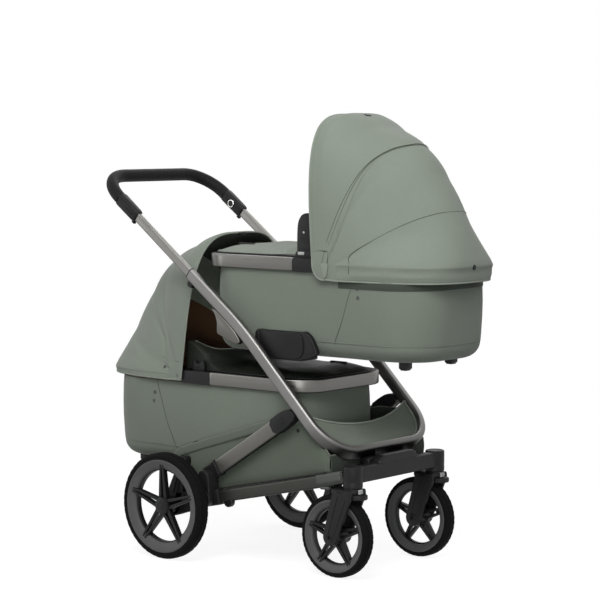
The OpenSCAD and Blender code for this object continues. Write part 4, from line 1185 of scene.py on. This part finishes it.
# Height and set-in of the tub's rings: down its wall, over its bottom, and up inside it
TUB_WALL = [
    (-36.4, 0), (-44, -0.6), (-70, -2.2), (-110, -3.2), (-150, -2.6), (-180, -1.0), (-200, 0),
    (-212, 1.0), (TUB_FOOT, 2.4)]
TUB_BOTTOM = [(TUB_LOW, 60), (TUB_LOW, 120), (TUB_LOW, 170)]
TUB_INSIDE = [
    (-254, 164), (-254, 60), (-252, 40), (-236, 16), (-210, 8), (-150, 6.5), (-80, 6.5), (-37, 6.5),
    (-36.6, 12), (-9.4, 12), (-9.0, 11), (-9.0, 6.5), (-9.4, 5.6), (-36.0, 5.6)]


def along(table, t):
    """A hood line's share of the opening at t, the same from both feet."""
    return steady(table, np.minimum(t, 1 - t))


def hood_points(f, t, grow, hood):
    """Points of a hood's arches, in the cot's own frame: f turns about the hinge, t goes over the arch."""
    f, t, grow = np.broadcast_arrays(*(np.asarray(v, float) for v in (f, t, grow)))
    opening, visor, hem = hood
    g = np.clip(f, 0, 1)
    n = 2 + 1.2 * np.maximum(0, 1 - g / 0.25) ** 2 + 1.6 * np.maximum(0, g - SEAM_AT) / (1 - SEAM_AT)
    reach = steady(REACH, g) + grow
    start = np.arcsin((WALL_R / reach) ** (n / 2))
    a = start + t * (math.pi - 2 * start)
    rho = reach * np.sin(a) ** (2 / n)
    y = (HOOD_HALF + grow) * np.sign(np.cos(a)) * np.abs(np.cos(a)) ** (2 / n)
    turn = np.radians(g * opening)
    out, down = np.maximum(0, f - 1) * visor, np.maximum(0, -f)
    rho = rho - down * 7 * np.sin(np.pi * t) ** 2
    # A deep hem leans in to the tub
    lean = np.clip(-2 * f - 1, 0, 1) * np.clip((rho - WALL_R - 6) / 60, 0, 1) * (hem > 20)
    y = y - np.sign(y) * 4.5 * ease(lean) * np.minimum(1, np.abs(y) / 100)
    x = HOOD_X + rho * np.cos(turn) - out * np.sin(turn)
    z = HOOD_Z + rho * np.sin(turn) + out * np.cos(turn) - down * hem
    return np.stack([x, y, z], -1)


def plan(x0, x1, half, r0, r1, n=14):
    """Plan outline: rounded foot end at x0, rounded head end at x1, from the middle of the foot."""
    foot, head = np.linspace(0, half - r0, 8)[:-1], np.linspace(half - r1, 0, 5)[1:]
    side = np.linspace(x0 + r0, x1 - r1, 32)[1:-1]
    near = np.concatenate([
        [(x0, y) for y in foot], arc(x0 + r0, half - r0, r0, 180, 90, n), [(x, half) for x in side],
        arc(x1 - r1, half - r1, r1, 90, 0, n), [(x1, y) for y in head]])
    return np.concatenate([near, near[-2:0:-1] * (1, -1)])


def outward(outline):
    """Directions that face to one side of an open plan line."""
    t = unit(np.gradient(outline, axis=0))
    return np.c_[-t[:, 1], t[:, 0]]


class Cot:
    """One carrycot with its hood, in a frame of its own: x runs to its head, and z is 0 at the rim's top."""

    def __init__(self, name, head, rim_z):
        self.name, self.head, self.up = name, head, head > 0
        self.x, self.z = head * COT_X, rim_z
        self.place = turned((self.x, 0, rim_z), "Z", 0 if self.up else 180)
        self.body = name + "_cot"
        self.hood = name + "_hood"
        self.shape = UPPER_HOOD if self.up else LOWER_HOOD
        self.hem_z = HOOD_Z - self.shape[2]

    def build(self):
        return Build(self.place)

    def make(self, b, piece, mats, slot, smooth, nodes=(), body=None):
        """One piece, named after the cot like the nodes that it stands for."""
        nodes = [self.name + node_name for node_name in nodes]
        return b.make(self.name + piece, body or self.body, mats, slot, smooth, nodes)

    def tub(self):
        """Soft tub: cloth outside, lining inside, with its seams, studs and feet."""
        edge_r, last = 41, TUB_WALL[-1][1]
        turn = np.radians(np.linspace(6, 84, 9))
        edge = [(TUB_FOOT - edge_r * math.sin(a), last + edge_r * (1 - math.cos(a))) for a in turn]

        def ring(z, d):
            foot_r, head_r = max(8, FOOT_R - d), max(8, HEAD_R - d)
            return at_height(plan(TUB_START + d, COT_L / 2 - d, TUB_HALF - d, foot_r, head_r), z)

        outer = np.array([ring(z, d) for z, d in TUB_WALL + edge + TUB_BOTTOM])
        flat = len(TUB_BOTTOM)
        outer[:-flat] = wrinkle(outer[:-flat], -0.9 if self.up else -1.2, 90.0, 3.0 * self.head)
        inner = [ring(z, d) for z, d in TUB_INSIDE]
        b = self.build()
        b.loft(outer, (False, True))
        b.loft(inner, (True, False), mat=1)
        b.loft([inner[-1], outer[0]], (False, False))
        lining = LINING if self.up else BROWN
        tub = self.make(b, "_tub_cover", [TUB, lining], "sage_cloth", 50, ["_tub"])
        c = self.build()
        self.tub_seams(c)
        foot_x, foot_y = (270, 100) if self.up else (280, 110)
        for y in (-foot_y, foot_y):
            c.box((foot_x - 13, y - 14, TUB_LOW - 20), (foot_x + 13, y + 14, TUB_LOW + 5), 4, 5)
            c.box((foot_x - 10, y - 11, TUB_LOW - 23), (foot_x + 10, y + 11, TUB_LOW - 19), 3, 5)
        trim = self.make(c, "_tub_seams", [PIPING, THREAD_AND_SHADE, CLIP, STRIP, TUB, BLACK], "sage_cloth", 50)

    def tub_seams(self, c):
        """Seam line round the foot of the wall, the curved side seams, their stitching and press studs."""
        line = plan(TUB_START + 1.4, COT_L / 2 - 1.4, TUB_HALF - 1.4, FOOT_R, HEAD_R)
        c.tube(at_height(line, -216.0), 0.9, 8, 4, loop=True)
        if self.up:
            # Dark closing strip round the head, under the hood's hem, its darkness partly painted shade of
            # the hem, with a dark line below it
            line = plan(TUB_START, COT_L / 2 + 3.0, TUB_HALF + 3.0, FOOT_R, HEAD_R + 3, 20)
            line = line[line[:, 0] >= 112.0]
            n = at_height(outward(line), 0)
            c.sweep(at_height(line, -64.0), rounded(2.4, 16, 1.0, 3), n, UPWARD, mat=3)
            c.tube(at_height(line, -72.6), 1.3, 6, 1)
        z = np.linspace(-38, -236, 22)
        heights, insets = np.transpose(TUB_WALL + [(-236, 9.0)])
        y = TUB_HALF + 0.25 - np.interp(-z, -heights, insets)
        for side in (-1, 1):
            line = np.stack([steady(SIDE_SEAM, z), side * y, z], 1)
            # Side seam drawn as a dark line: painted shade of its groove
            c.tube(line, 0.9, 6, 1)
            stitches(c, line + (3.4, 0, 0), (0, side, 0), TUB_STITCH)
            for stud_x, stud_z in ((176, -72), (179, -96)):
                stud(c, (stud_x, side * (TUB_HALF + 2.8), stud_z), (0, side, 0), 5.2, 2)

    def rim(self):
        """Rail round the foot and sides of the rim, and the dark seal inside it."""
        end = -37.4
        line = plan(-COT_L / 2, COT_L / 2, COT_W / 2, FOOT_R, HEAD_R, 20)
        line = np.roll(line, len(line) // 2, 0)
        line = line[line[:, 0] <= -37.0]
        line = np.concatenate([[(end, line[0][1])], line, [(end, line[-1][1])]])
        n = outward(line)
        if n[0][1] * line[0][1] < 0:
            n = -n
        middle = line - n * (RIM_T / 2)
        b = self.build()
        rail = rounded(RIM_T - 0.2, RAIL_H - 0.2, 3.6, 4)
        b.sweep(at_height(middle, -RAIL_H / 2), rail, at_height(n, 0), UPWARD, round_ends=2.5)
        self.make(b, "_rim_rail", [RIM], "rim_silver", 30, ["_rim"])
        b = self.build()
        b.tube(at_height(middle - n * 7.6, -2.0), 2.4, 8)
        self.make(b, "_rim_seal", [SATIN], "black_plastic", 50)

    def hinges(self):
        """Brackets at the hood's hinge, with a carrying paddle above or a notched stub below."""
        bracket = [
            (-37, -35), (-35, -37), (84, -37), (106, -31), (110, -16), (105, -2), (-34, 0), (-37, -3)]
        stub = [
            (-4, -8), (42, -8), (42, 16), (38, 26), (31, 27.5), (27, 19), (12, 19), (8, 27.5), (1, 26),
            (-4, 16)]
        inside = COT_W / 2 - RIM_T - 5.5
        b = self.build()
        for side in (-1, 1):
            middle = side_frame(side * (COT_W / 2 - RIM_T / 2))
            b.plate(smooth_outline(bracket, 2), -6.9, 6.9, 2.2, 0, middle)
            if self.up:
                self.paddle(b, side_frame(side * inside, -18), side * inside)
            else:
                place = side_frame(side * inside)
                b.plate(smooth_outline(stub, 2), -5.4, 5.4, 2.4, 1, place)
                b.box((12, 8, -6.6), (27, 15, 6.6), 1.6, 0, place)
            pin = turned((HOOD_X, side * 176, HOOD_Z), "X", -90 * side)
            b.lathe([(7.9, 0), (7.9, 16.6), (7.0, 17.3), (0, 17.3)], 32, 1, pin)
        self.make(b, "_hinge_brackets", [BLACK, SATIN, PALE], "black_plastic", 34, ["_hinges"])

    def paddle(self, b, place, y):
        """Upright carrying paddle with a raised frame, a pressed field and a pale release at its foot."""
        base = [(-20, -9), (60, -9), (58, 10), (54, 16), (-14, 16), (-18, 10)]
        b.plate(smooth_outline(base, 2), -7.4, 6.0, 2.0, 0, place)
        blade = [
            (-12, -8), (52, -8), (53, 60), (50, 94), (38, 112), (20, 118), (2, 112), (-10, 94), (-13, 60)]
        b.plate(smooth_outline(blade, 3), -5.4, 5.4, 3.0, 1, place)
        field = [(-3, 44), (43, 44), (43, 66), (36, 93), (20, 103), (4, 93), (-3, 66)]
        for face in (-1, 1):
            low, high = span(face, 5.0, 6.2)
            b.plate(smooth_outline(field, 3), low, high, 0.5, 0, place)
            b.plate(rounded(34, 13, 3, 4) + (20, 31), low, high, 0.5, 0, place)
            b.tube([(x, y + face * 5.6, 20.0) for x in (-26, 2, 30)], 0.9, 6)
        pin = place @ Matrix.Translation((12, 66, 0))
        b.lathe([(3.0, -7.0), (3.0, 7.0), (2.0, 7.4), (0, 7.2)], 18, 2, pin)
        b.box((-8, 6, -7.9), (13, 15, 7.9), 2.0, 2, place)

    def apron_point(self, u, v):
        """Point of the foot cover, u from foot to free edge and v across it, both from -1 to 1."""
        x0, half, lip_run = 15 - COT_L / 2, 164.0, 150
        x1, rise, side_rise, crown = (-8.0, 4, 0, 20) if self.up else (82.0, 24, 50, 16)
        # Square to superellipse, squarer at the free edge
        bend = 5 if u < 0 else 5 + 23 * u * u
        k = (abs(u) ** bend + abs(v) ** bend) ** (1 / bend)
        m = max(abs(u), abs(v))
        s = m / k if k > 0 else 1
        x = (x0 + x1) / 2 + (x1 - x0) / 2 * u * s
        y = half * v * s
        edge = 1 - m
        lip = (rise + side_rise * (y / half) ** 2) * ease(min(1, max(0, (x - x1 + lip_run) / lip_run)))
        crown *= 1 - (1 - min(1, edge / (0.5 if u < 0.6 else 0.16))) ** 2.6
        fold = 0.0
        if not self.up:
            fold = 3.4 * math.sin(y / 22 + 0.9 * math.sin(x / 50)) * min(1, edge * 4)
            fold *= math.exp(-((x + 20) / 80) ** 2)
            fold += 1.6 * math.sin(x / 30 + y / 70) * min(1, edge * 3)
        soft = 2.2 * noise.noise(Vector((x / 80, y / 70, self.head * 3.0))) * min(1, edge * 4)
        return x, y, 3 + crown + lip + fold + soft

    def apron(self):
        """Padded foot cover with a rolled free edge; the lower one stands high along its sides."""
        shares = np.linspace(-1, 1, 61)
        grid = np.array([[self.apron_point(u, v) for v in shares] for u in shares])
        b = self.build()
        b.loft(grid, closed=False)
        rim = grid_edge(grid)
        low = at_height(rim[:, :2], -8.4)
        b.loft([low, (rim + low) / 2, rim], (False, False), flip=True)
        b.add(low, [list(range(len(low)))[::-1]])
        cloth = SAGE if self.up else APRON_LOW
        pad = self.make(b, "_apron_cover", [cloth], "sage_cloth", 60, ["_apron"])
        c = self.build()
        row, lift = (-1, 0) if self.up else (-4, 0.8)
        c.tube(grid[row, 4:-4] + (0.6, 0, lift), 2.6)
        # Seal round the foot and the sides, and piping above it
        around = np.concatenate([grid[-4::-1, 0], grid[0, 1:-1], grid[:-3, -1]])
        flat = around * (1, 1, 0)
        middle = flat.mean(0)
        wide = 1 + 3.4 / np.maximum(1, np.linalg.norm(flat - middle, axis=1))
        c.tube(middle + (flat - middle) * wide[:, None] + (0, 0, 1.6), 2.6, 8, 3)
        if self.up:
            c.tube(around + (0, 0, 1.6), 1.6, 8)
        stitches(c, grid[-5, 5:-5] + (0, 0, 0.2), UPWARD, PAD_STITCH, 1)
        # Dark slot for the carrying strap
        at = grid[11, 13]
        c.box(at - (26, 6, 1.2), at + (26, 6, 2.6), 1.0, 2)
        self.make(c, "_apron_trim", [PIPING, THREAD_AND_SHADE, BAND, SATIN], "sage_cloth", 50)

    def mattress(self):
        """Quilted mattress on the tub's floor."""
        x0, x1, base = -296.0, 322.0, -252.4
        # Share of the outline at each height above the floor
        form = [
            (0.97, 0), (0.995, 4), (1.0, 12), (1.0, 22), (0.985, 30), (0.95, 34.5),
            (0.88, 36.5), (0.7, 38.5), (0.45, 39.5), (0.2, 40), (0.02, 40)]
        outline = plan(x0, x1, 128.0, 80, 100)
        middle = np.array([(x0 + x1) / 2, 0])
        rings = []
        for s, h in form:
            q = middle + (outline - middle) * s
            quilt = 1.2 * np.sin(q[:, 0] / 24) * np.sin(q[:, 1] / 24) * (h > 33)
            rings.append(np.c_[q, base + h + quilt])
        b = self.build()
        b.loft(rings)
        b.tube(at_height(outline, base + 30.0), 1.8, 8, loop=True)
        m = self.make(b, "_mattress_pad", [KNIT], "mattress_cloth", 60, ["_mattress"])

    def seam_edge(self, t):
        """Where the front cloth begins: along the zip above, hidden in the lower hood."""
        return along(ZIP_REAR, t) if self.up else np.full(len(t), SEAM_AT)

    def rear_cloth(self):
        """Fixed rear part of the hood, from its hem round the head to behind the front part's edge."""
        hood = self.shape
        t = np.linspace(0, 1, HOOD_COLS)
        share = np.concatenate([np.linspace(0.05, 0.97, 36), [1.0]])
        hem = np.concatenate([np.linspace(-1, -0.1, 9), np.linspace(-0.04, 0.03, 4)])
        f = np.concatenate([np.outer(hem, np.ones(HOOD_COLS)), np.outer(share, self.seam_edge(t) + 0.02)])
        rear = hood_points(f, t, 0.0, hood)
        rear = wrinkle(rear, 1.0 if self.up else 1.8, 120.0, 5.0 * self.head)
        rear = self.crease(rear, f, t)
        b = self.build()
        low = int(np.argmin(np.abs(f[:, HOOD_MID] - 0.42)))
        thick(b, rear, CLOTH, (0, 1, 2), 0 if self.up else low)
        # Foot of the cloth beside the hinge, behind the front part's edge
        foot = [(66, self.hem_z), (115.6, self.hem_z), (115.6, HOOD_Z)]
        foot += list(arc(HOOD_X, HOOD_Z, 39.4, 3, hood[0] * (0.70 if self.up else SEAM_AT), 14))
        foot.append((72, HOOD_Z + 8))
        for side in (-1, 1):
            b.plate(foot, -CLOTH / 2, CLOTH / 2, 0.5, 0, side_frame(side * (HOOD_HALF - CLOTH / 2)))
        looks = [SAGE, LINING if self.up else LINING_LOW, BROWN]
        cloth = self.make(b, "_hood_rear_cloth", looks, "sage_cloth", 60, ["_hood_rear"])
        n = grid_normals(rear)
        c = self.build()
        hem = np.array([(x, HOOD_HALF - 0.7, self.hem_z + 1.0) for x in (70, 92)])
        c.tube(np.concatenate([hem, rear[0] - n[0], hem[::-1] * (1, -1, 1)]), 2.2)
        stitches(c, rear[1], n[1], HEM_STITCH, 1)
        if self.up:
            # Curved seam from the hem on one side over to the other, drawn as a dark line: painted shade of
            # its groove
            half = hood_points(REAR_SEAM[:, 1], REAR_SEAM[:, 0], 0.1, hood)
            c.tube(spline(np.concatenate([half, half[-2::-1] * (1, -1, 1)])), 0.8, 6, 1)
            studs = [(10, HOOD_MID, 6.6, 2, 0.4)]
        else:
            studs = [(int(np.argmin(np.abs(f[:, j] - 0.2))), j, 5.0, 3, 0.3) for j in (2, HOOD_COLS - 3)]
        for i, j, r, mat, lift in studs:
            stud(c, rear[i][j] + n[i][j] * lift, n[i][j], r, mat)
        trim = self.make(c, "_hood_rear_trim", [PIPING, THREAD_AND_SHADE, SATIN, CLIP], "sage_cloth", 60)

    def front_cloth(self):
        """Part of the hood that folds, with its foot over the hinge, rolled edge and dark tabs."""
        opening, visor, _ = self.shape
        t = np.linspace(0, 1, HOOD_COLS)
        first = self.seam_edge(t)
        f = first + np.linspace(0, 1, 24)[:, None] * (1 - first)
        f = np.concatenate([f, np.outer(np.linspace(1.12, 2, 8), np.ones(HOOD_COLS))])
        # The edge thins out: quickly along the zip, gently where the two cloths look like one
        thin, run = (1.5, 0.05) if self.up else (0.7, 0.12)
        grow = thin + (NEST + CLOTH - thin) * ease(np.clip((f - first) / run, 0, 1))
        front = wrinkle(hood_points(f, t, grow, self.shape), 0.8, 140.0, 5.0 * self.head + 2)
        b = self.build()
        thick(b, front, np.minimum(CLOTH, grow - 0.3), (0, 1))
        # Foot of the panel over the hinge, in front of the zip
        hinge = np.array([HOOD_X, HOOD_Z])
        # The side view's z goes up, so a slope that falls by minus the angle rises by it
        seam = hinge + 40 * way(-opening * (0.63 if self.up else SEAM_AT))
        brow = hinge + way(-opening) * 41 + normal(-opening) * visor
        if self.up:
            corner = arc(HOOD_X, HOOD_Z, 38.9, 268, 184, 20)
        else:
            corner = arc(75.0, self.hem_z + 9, 9.0, 265, 186, 10)
        inner_x, hem_x = (83, 80) if self.up else (79, 78)
        foot = np.concatenate([[seam, (inner_x, HOOD_Z), (hem_x, self.hem_z)], corner, [brow]])
        outside = HOOD_HALF + 1.4
        for side in (-1, 1):
            b.plate(foot, -CLOTH / 2, CLOTH / 2, 0.9, 0, side_frame(side * outside))
        nodes = ["_hood_front", "_hood_ears"]
        cloth = self.make(b, "_hood_front_cloth", [SAGE, LINING], "sage_cloth", 60, nodes, self.hood)
        n = grid_normals(front)
        c = self.build()
        # Rolled edge: round the foot and along the open edge
        near = np.array([xz(q, outside) for q in corner])
        c.tube(np.concatenate([near, front[-1] - n[-1] * 1.2, near[::-1] * (1, -1, 1)]), 2.3)
        stitches(c, front[-3], n[-3], VISOR_STITCH, 1)
        if self.up:
            self.zip(c)
        # Dark tabs on the crown and at the edge
        row, edge = 21, -1
        facing = n[row][HOOD_MID]
        lean = math.degrees(math.atan2(facing[0], facing[2]))
        c.box((-5, -10, -1), (5, 10, 2.0), 0.9, 2, turned(front[row][HOOD_MID], "Y", lean))
        at = front[edge][HOOD_MID] - n[edge][HOOD_MID] * 1.5
        c.box((-3, -15, -8), (3, 15, 1.0), 0.9, 2, Matrix.Translation(at))
        trim = self.make(c, "_hood_front_trim", [PIPING, THREAD_AND_SHADE, SATIN], "sage_cloth", 60, body=self.hood)

    def zip(self, c):
        """Covered zip: two lines that open towards the foot, and the folded tab that ends it."""
        grow = NEST + CLOTH
        t = np.linspace(0.012, 0.988, 130)
        rear, front = along(ZIP_REAR, t), along(ZIP_FRONT, t)
        # The front and middle lines are dark: painted shade where the cloth sinks in along the zip
        c.tube(hood_points(front, t, grow + 0.1, self.shape), 0.8, 6, 1)
        c.tube(hood_points(rear + 0.004, t, 0.8, self.shape), 1.0, 8)
        c.tube(hood_points(0.36 * rear + 0.64 * front, t, grow - 0.1, self.shape), 0.6, 6, 1)
        tab = [(66, -11), (90, -11), (86, -46), (76, -46)]
        for side in (-1, 1):
            c.plate(tab, -1.0, 1.0, 0.8, 0, side_frame(side * (HOOD_HALF + 2.7)))
            # Dark lines on the tab: painted shade
            for ends in (((91, 20), (87, -10)), ((79, 22), (70, -10))):
                p, q = np.array(ends)
                c.tube([xz(at, side * (HOOD_HALF + 2.5)) for at in (p, (p + q) / 2, q)], 0.8, 6, 1)

    def crease(self, grid, f, t):
        """Soft folds: the turned hem, and in the lower hood two folds that run down to it."""
        near = np.minimum(t, 1 - t)
        uneven = np.array([0.75 + 0.8 * noise.noise(Vector((q * 11, self.head, 0.4))) for q in t])

        def ridge(d):
            return np.exp(-d ** 2)

        press = -2.4 * ridge((f + 0.3) / 0.22) * uneven + 0.8 * ridge((f - 0.02) / 0.03)
        if self.up:
            d = (f - 0.12 - 1.6 * near) / 0.06
            press = press - 1.5 * ridge(d) * np.clip((0.2 - near) / 0.15, 0, 1) * (f > 0)
        else:
            d = (f - along(LOW_FOLD, t)) / 0.035
            fade = np.clip((0.34 - near) / 0.12, 0, 1) * (f > 0)
            press = press * 0.5 + (2.0 * ridge(d - 1.9) - 4.2 * ridge(d)) * fade
            d = (f - 0.205 - 0.12 * (near - 0.22)) / 0.03
            fade = ridge((near - 0.25) / 0.09) * (f > 0)
            press = press + (1.4 * ridge(d + 1.8) - 3.2 * ridge(d)) * fade
        return grid + grid_normals(grid) * press[..., None]


def adapters(cot, node_name, boss, boss_out):
    """Moulded holders beside a cot: a pointed back plate, a proud face and two raised flanges."""
    x, z = cot.x - cot.head * 52, cot.z - 229
    # Outline, depth behind the face, height before it, edge rounding and material
    layers = (
        ([(-104, 28), (-98, 36), (-60, 34), (50, 35), (66, 38), (88, 22), (106, -14), (105, -24), (64, -39),
          (-60, -39), (-96, -36), (-104, -24)], 18, -1, 4.0, 0),
        ([(-82, 28), (-70, 33), (44, 34), (58, 26), (64, 4), (60, -26), (44, -38), (-62, -38), (-82, -28)],
         6, 3.0, 2.6, 1),
        ([(-103, 27), (-97, 33), (-89, 30), (-88, -28), (-95, -33), (-103, -24)], 6, 1.6, 1.8, 0),
        ([(56, 34), (66, 35), (84, 20), (100, -14), (94, -19), (72, -22), (70, 8)], 6, 1.0, 1.4, 0))
    face, shelf = 199, cot.z - COT_DEPTH - 10.4
    for name, side in SIDES:
        b = Build()
        for pts, deep, high, r, mat in layers:
            outline = smooth_outline(np.array(pts) * (cot.head, 1), 2) + (x, z)
            b.plate(outline, *span(-side, face - deep, face + high), r, mat, side_frame())
        near, far = span(side, 128, face)
        b.box((x - 55, near, shelf), (x + 55, far, shelf + 10), 3)
        b.lathe([(12, depth) for depth in span(-side, 181, boss_out)], 32, 0, side_frame(0, *boss))
        b.skin(node_name + "_" + name, "chassis", [BLACK, SATIN], "black_plastic", 34)


# Basket

BASKET_LOW = np.array([(-254, 262), (-200, 226), (-130, 184), (0, 213), (140, 244), (286, 276.5)], float)
BASKET_HIGH = np.array([
    (-254, 270), (-242, 280), (84, 384), (150, 396), (201, 396), (240, 372), (286, 320)], float)
ROLL_LINE = np.array([
    (-254, 262), (-250, 272), (-238, 282), (-160, 308), (-80, 333), (0, 359), (60, 378), (84, 386)], float)
BASKET_START, BASKET_FRONT, BASKET_HALF, BASKET_FLOOR, WALL_ROWS = -130, 286, 203, 196, 12
FRONT_LOW, FRONT_HIGH, BASKET_CLOTH = 277, 320, 2.6


def basket_row(x):
    """Cloth at one place along the basket: down the left wall, over the floor and up the right wall."""
    low, high = np.interp(x, *BASKET_LOW.T), steady(BASKET_HIGH, x)
    deep = 13 * math.exp(-((x - 10) / 150) ** 2)
    wall, floor = [], []
    for k in np.linspace(0, 1, WALL_ROWS):
        z = high + (low - high) * k
        bulge = 3.6 * math.sin(math.pi * k) * min(1, (high - low) / 80)
        bulge += 1.6 * noise.noise(Vector((x / 55, z / 45, 4.0))) * math.sin(math.pi * k)
        wall.append((x, BASKET_HALF + bulge - 7 * max(0, k - 0.9) / 0.1, z))
    for v in np.linspace(0.92, -0.92, 13):
        sag = 0.0
        if x >= BASKET_START:
            sag = 1.0 + deep * (1 - abs(v) ** 4) - 1.2 * noise.noise(Vector((x / 60, v * 3, 1)))
        floor.append((x, BASKET_FLOOR * v, low - sag))
    return wall + floor + [(x, -y, z) for x, y, z in reversed(wall)]


def front_point(k, y):
    """Point of the basket's front panel."""
    z = FRONT_LOW + (FRONT_HIGH - FRONT_LOW) * k
    bulge = 2.5 * math.sin(math.pi * k) + 1.2 * noise.noise(Vector((y / 50, z / 30, 2)))
    return BASKET_FRONT + bulge, y, z


def basket():
    """Cloth basket hung between the rails, with a padded roll along the top edge of each side."""
    behind = np.linspace(-252, BASKET_START, 12)
    xs = np.concatenate([behind, np.linspace(-110, BASKET_FRONT, 30)])
    grid = np.array([basket_row(x) for x in xs])
    edge = WALL_ROWS - 1
    # Side walls run on behind the floor's rear edge
    panels = [grid[:, :WALL_ROWS], grid[:, -WALL_ROWS:], grid[len(behind) - 1:, edge:-edge]]
    widths, heights = np.linspace(BASKET_HALF - 2, 2 - BASKET_HALF, 40), np.linspace(1, 0, 6)
    front = np.array([[front_point(k, y) for y in widths] for k in heights])
    b = Build()
    for panel in panels:
        thick(b, panel, BASKET_CLOTH, (0, 1))
    # The front panel is dark: painted shade under the loop
    thick(b, front, BASKET_CLOTH, (2, 1))
    obj = b.make("basket_cloth", "chassis", [BASKET, LINING, THREAD_AND_SHADE], "sage_cloth", 60, ["basket"])
    c = Build()
    for side in (-1, 1):
        basket_trim(c, side)
    end = BASKET_HALF - 1
    c.tube([(BASKET_FRONT, y, FRONT_HIGH + 1) for y in np.linspace(-end, end, 12)], 2.4, 8)
    trim = c.make("basket_trim", "chassis", [ROLL, SATIN, THREAD_AND_SHADE, BAND], "sage_cloth", 60)


def basket_trim(c, side):
    """Roll, binding, seam, stud and lower band of one side."""
    def out(proud):
        return side * (BASKET_HALF + proud)

    pts = np.array([xz(p, out(1.0)) for p in ROLL_LINE])
    up = np.cross(unit(np.gradient(pts, axis=0)), ACROSS)
    up = np.where(up[:, 2:] < 0, -up, up)
    c.sweep(pts, rounded(25, 11, 5.4, 5), up, ACROSS, round_ends=4)
    top = [(x, out(-0.5), steady(BASKET_HIGH, x) + 0.6) for x in np.linspace(90, BASKET_FRONT, 20)]
    c.tube(top, 2.4, 8)
    c.tube([(258, out(2.2), 340), (266, out(2.0), 310), (276, out(0.6), 280)], 1.8, 8)
    dome = [(5.4, -0.8), (5.2, 0.6), (4.0, 1.2), (2.2, 0.8), (0, 0.7)]
    c.lathe(dome, 24, 1, turned((180, out(2.4), 378), "X", -90 * side))
    line = np.array([(x, out(1.9), np.interp(x, *BASKET_LOW.T) + 12) for x in np.linspace(-120, 270, 30)])
    stitches(c, line, (0, side, 0), BASKET_STITCH, 2)
    c.tube(line + (0, -side * 3.0, -10), 2.6, 8, 3)


upper, lower = Cot("upper", 1, 830.0), Cot("lower", -1, 506.0)
for _cot in (upper, lower):
    _cot.tub()
    _cot.rim()
    _cot.hinges()
    _cot.apron()
    _cot.mattress()
    _cot.rear_cloth()
    _cot.front_cloth()
adapters(upper, "upper_adapter", BEND_END + (4, -4), 208.3)
adapters(lower, "lower_adapter", LEG_FOOT + 35 * LEG_WAY, 208.8)
basket()
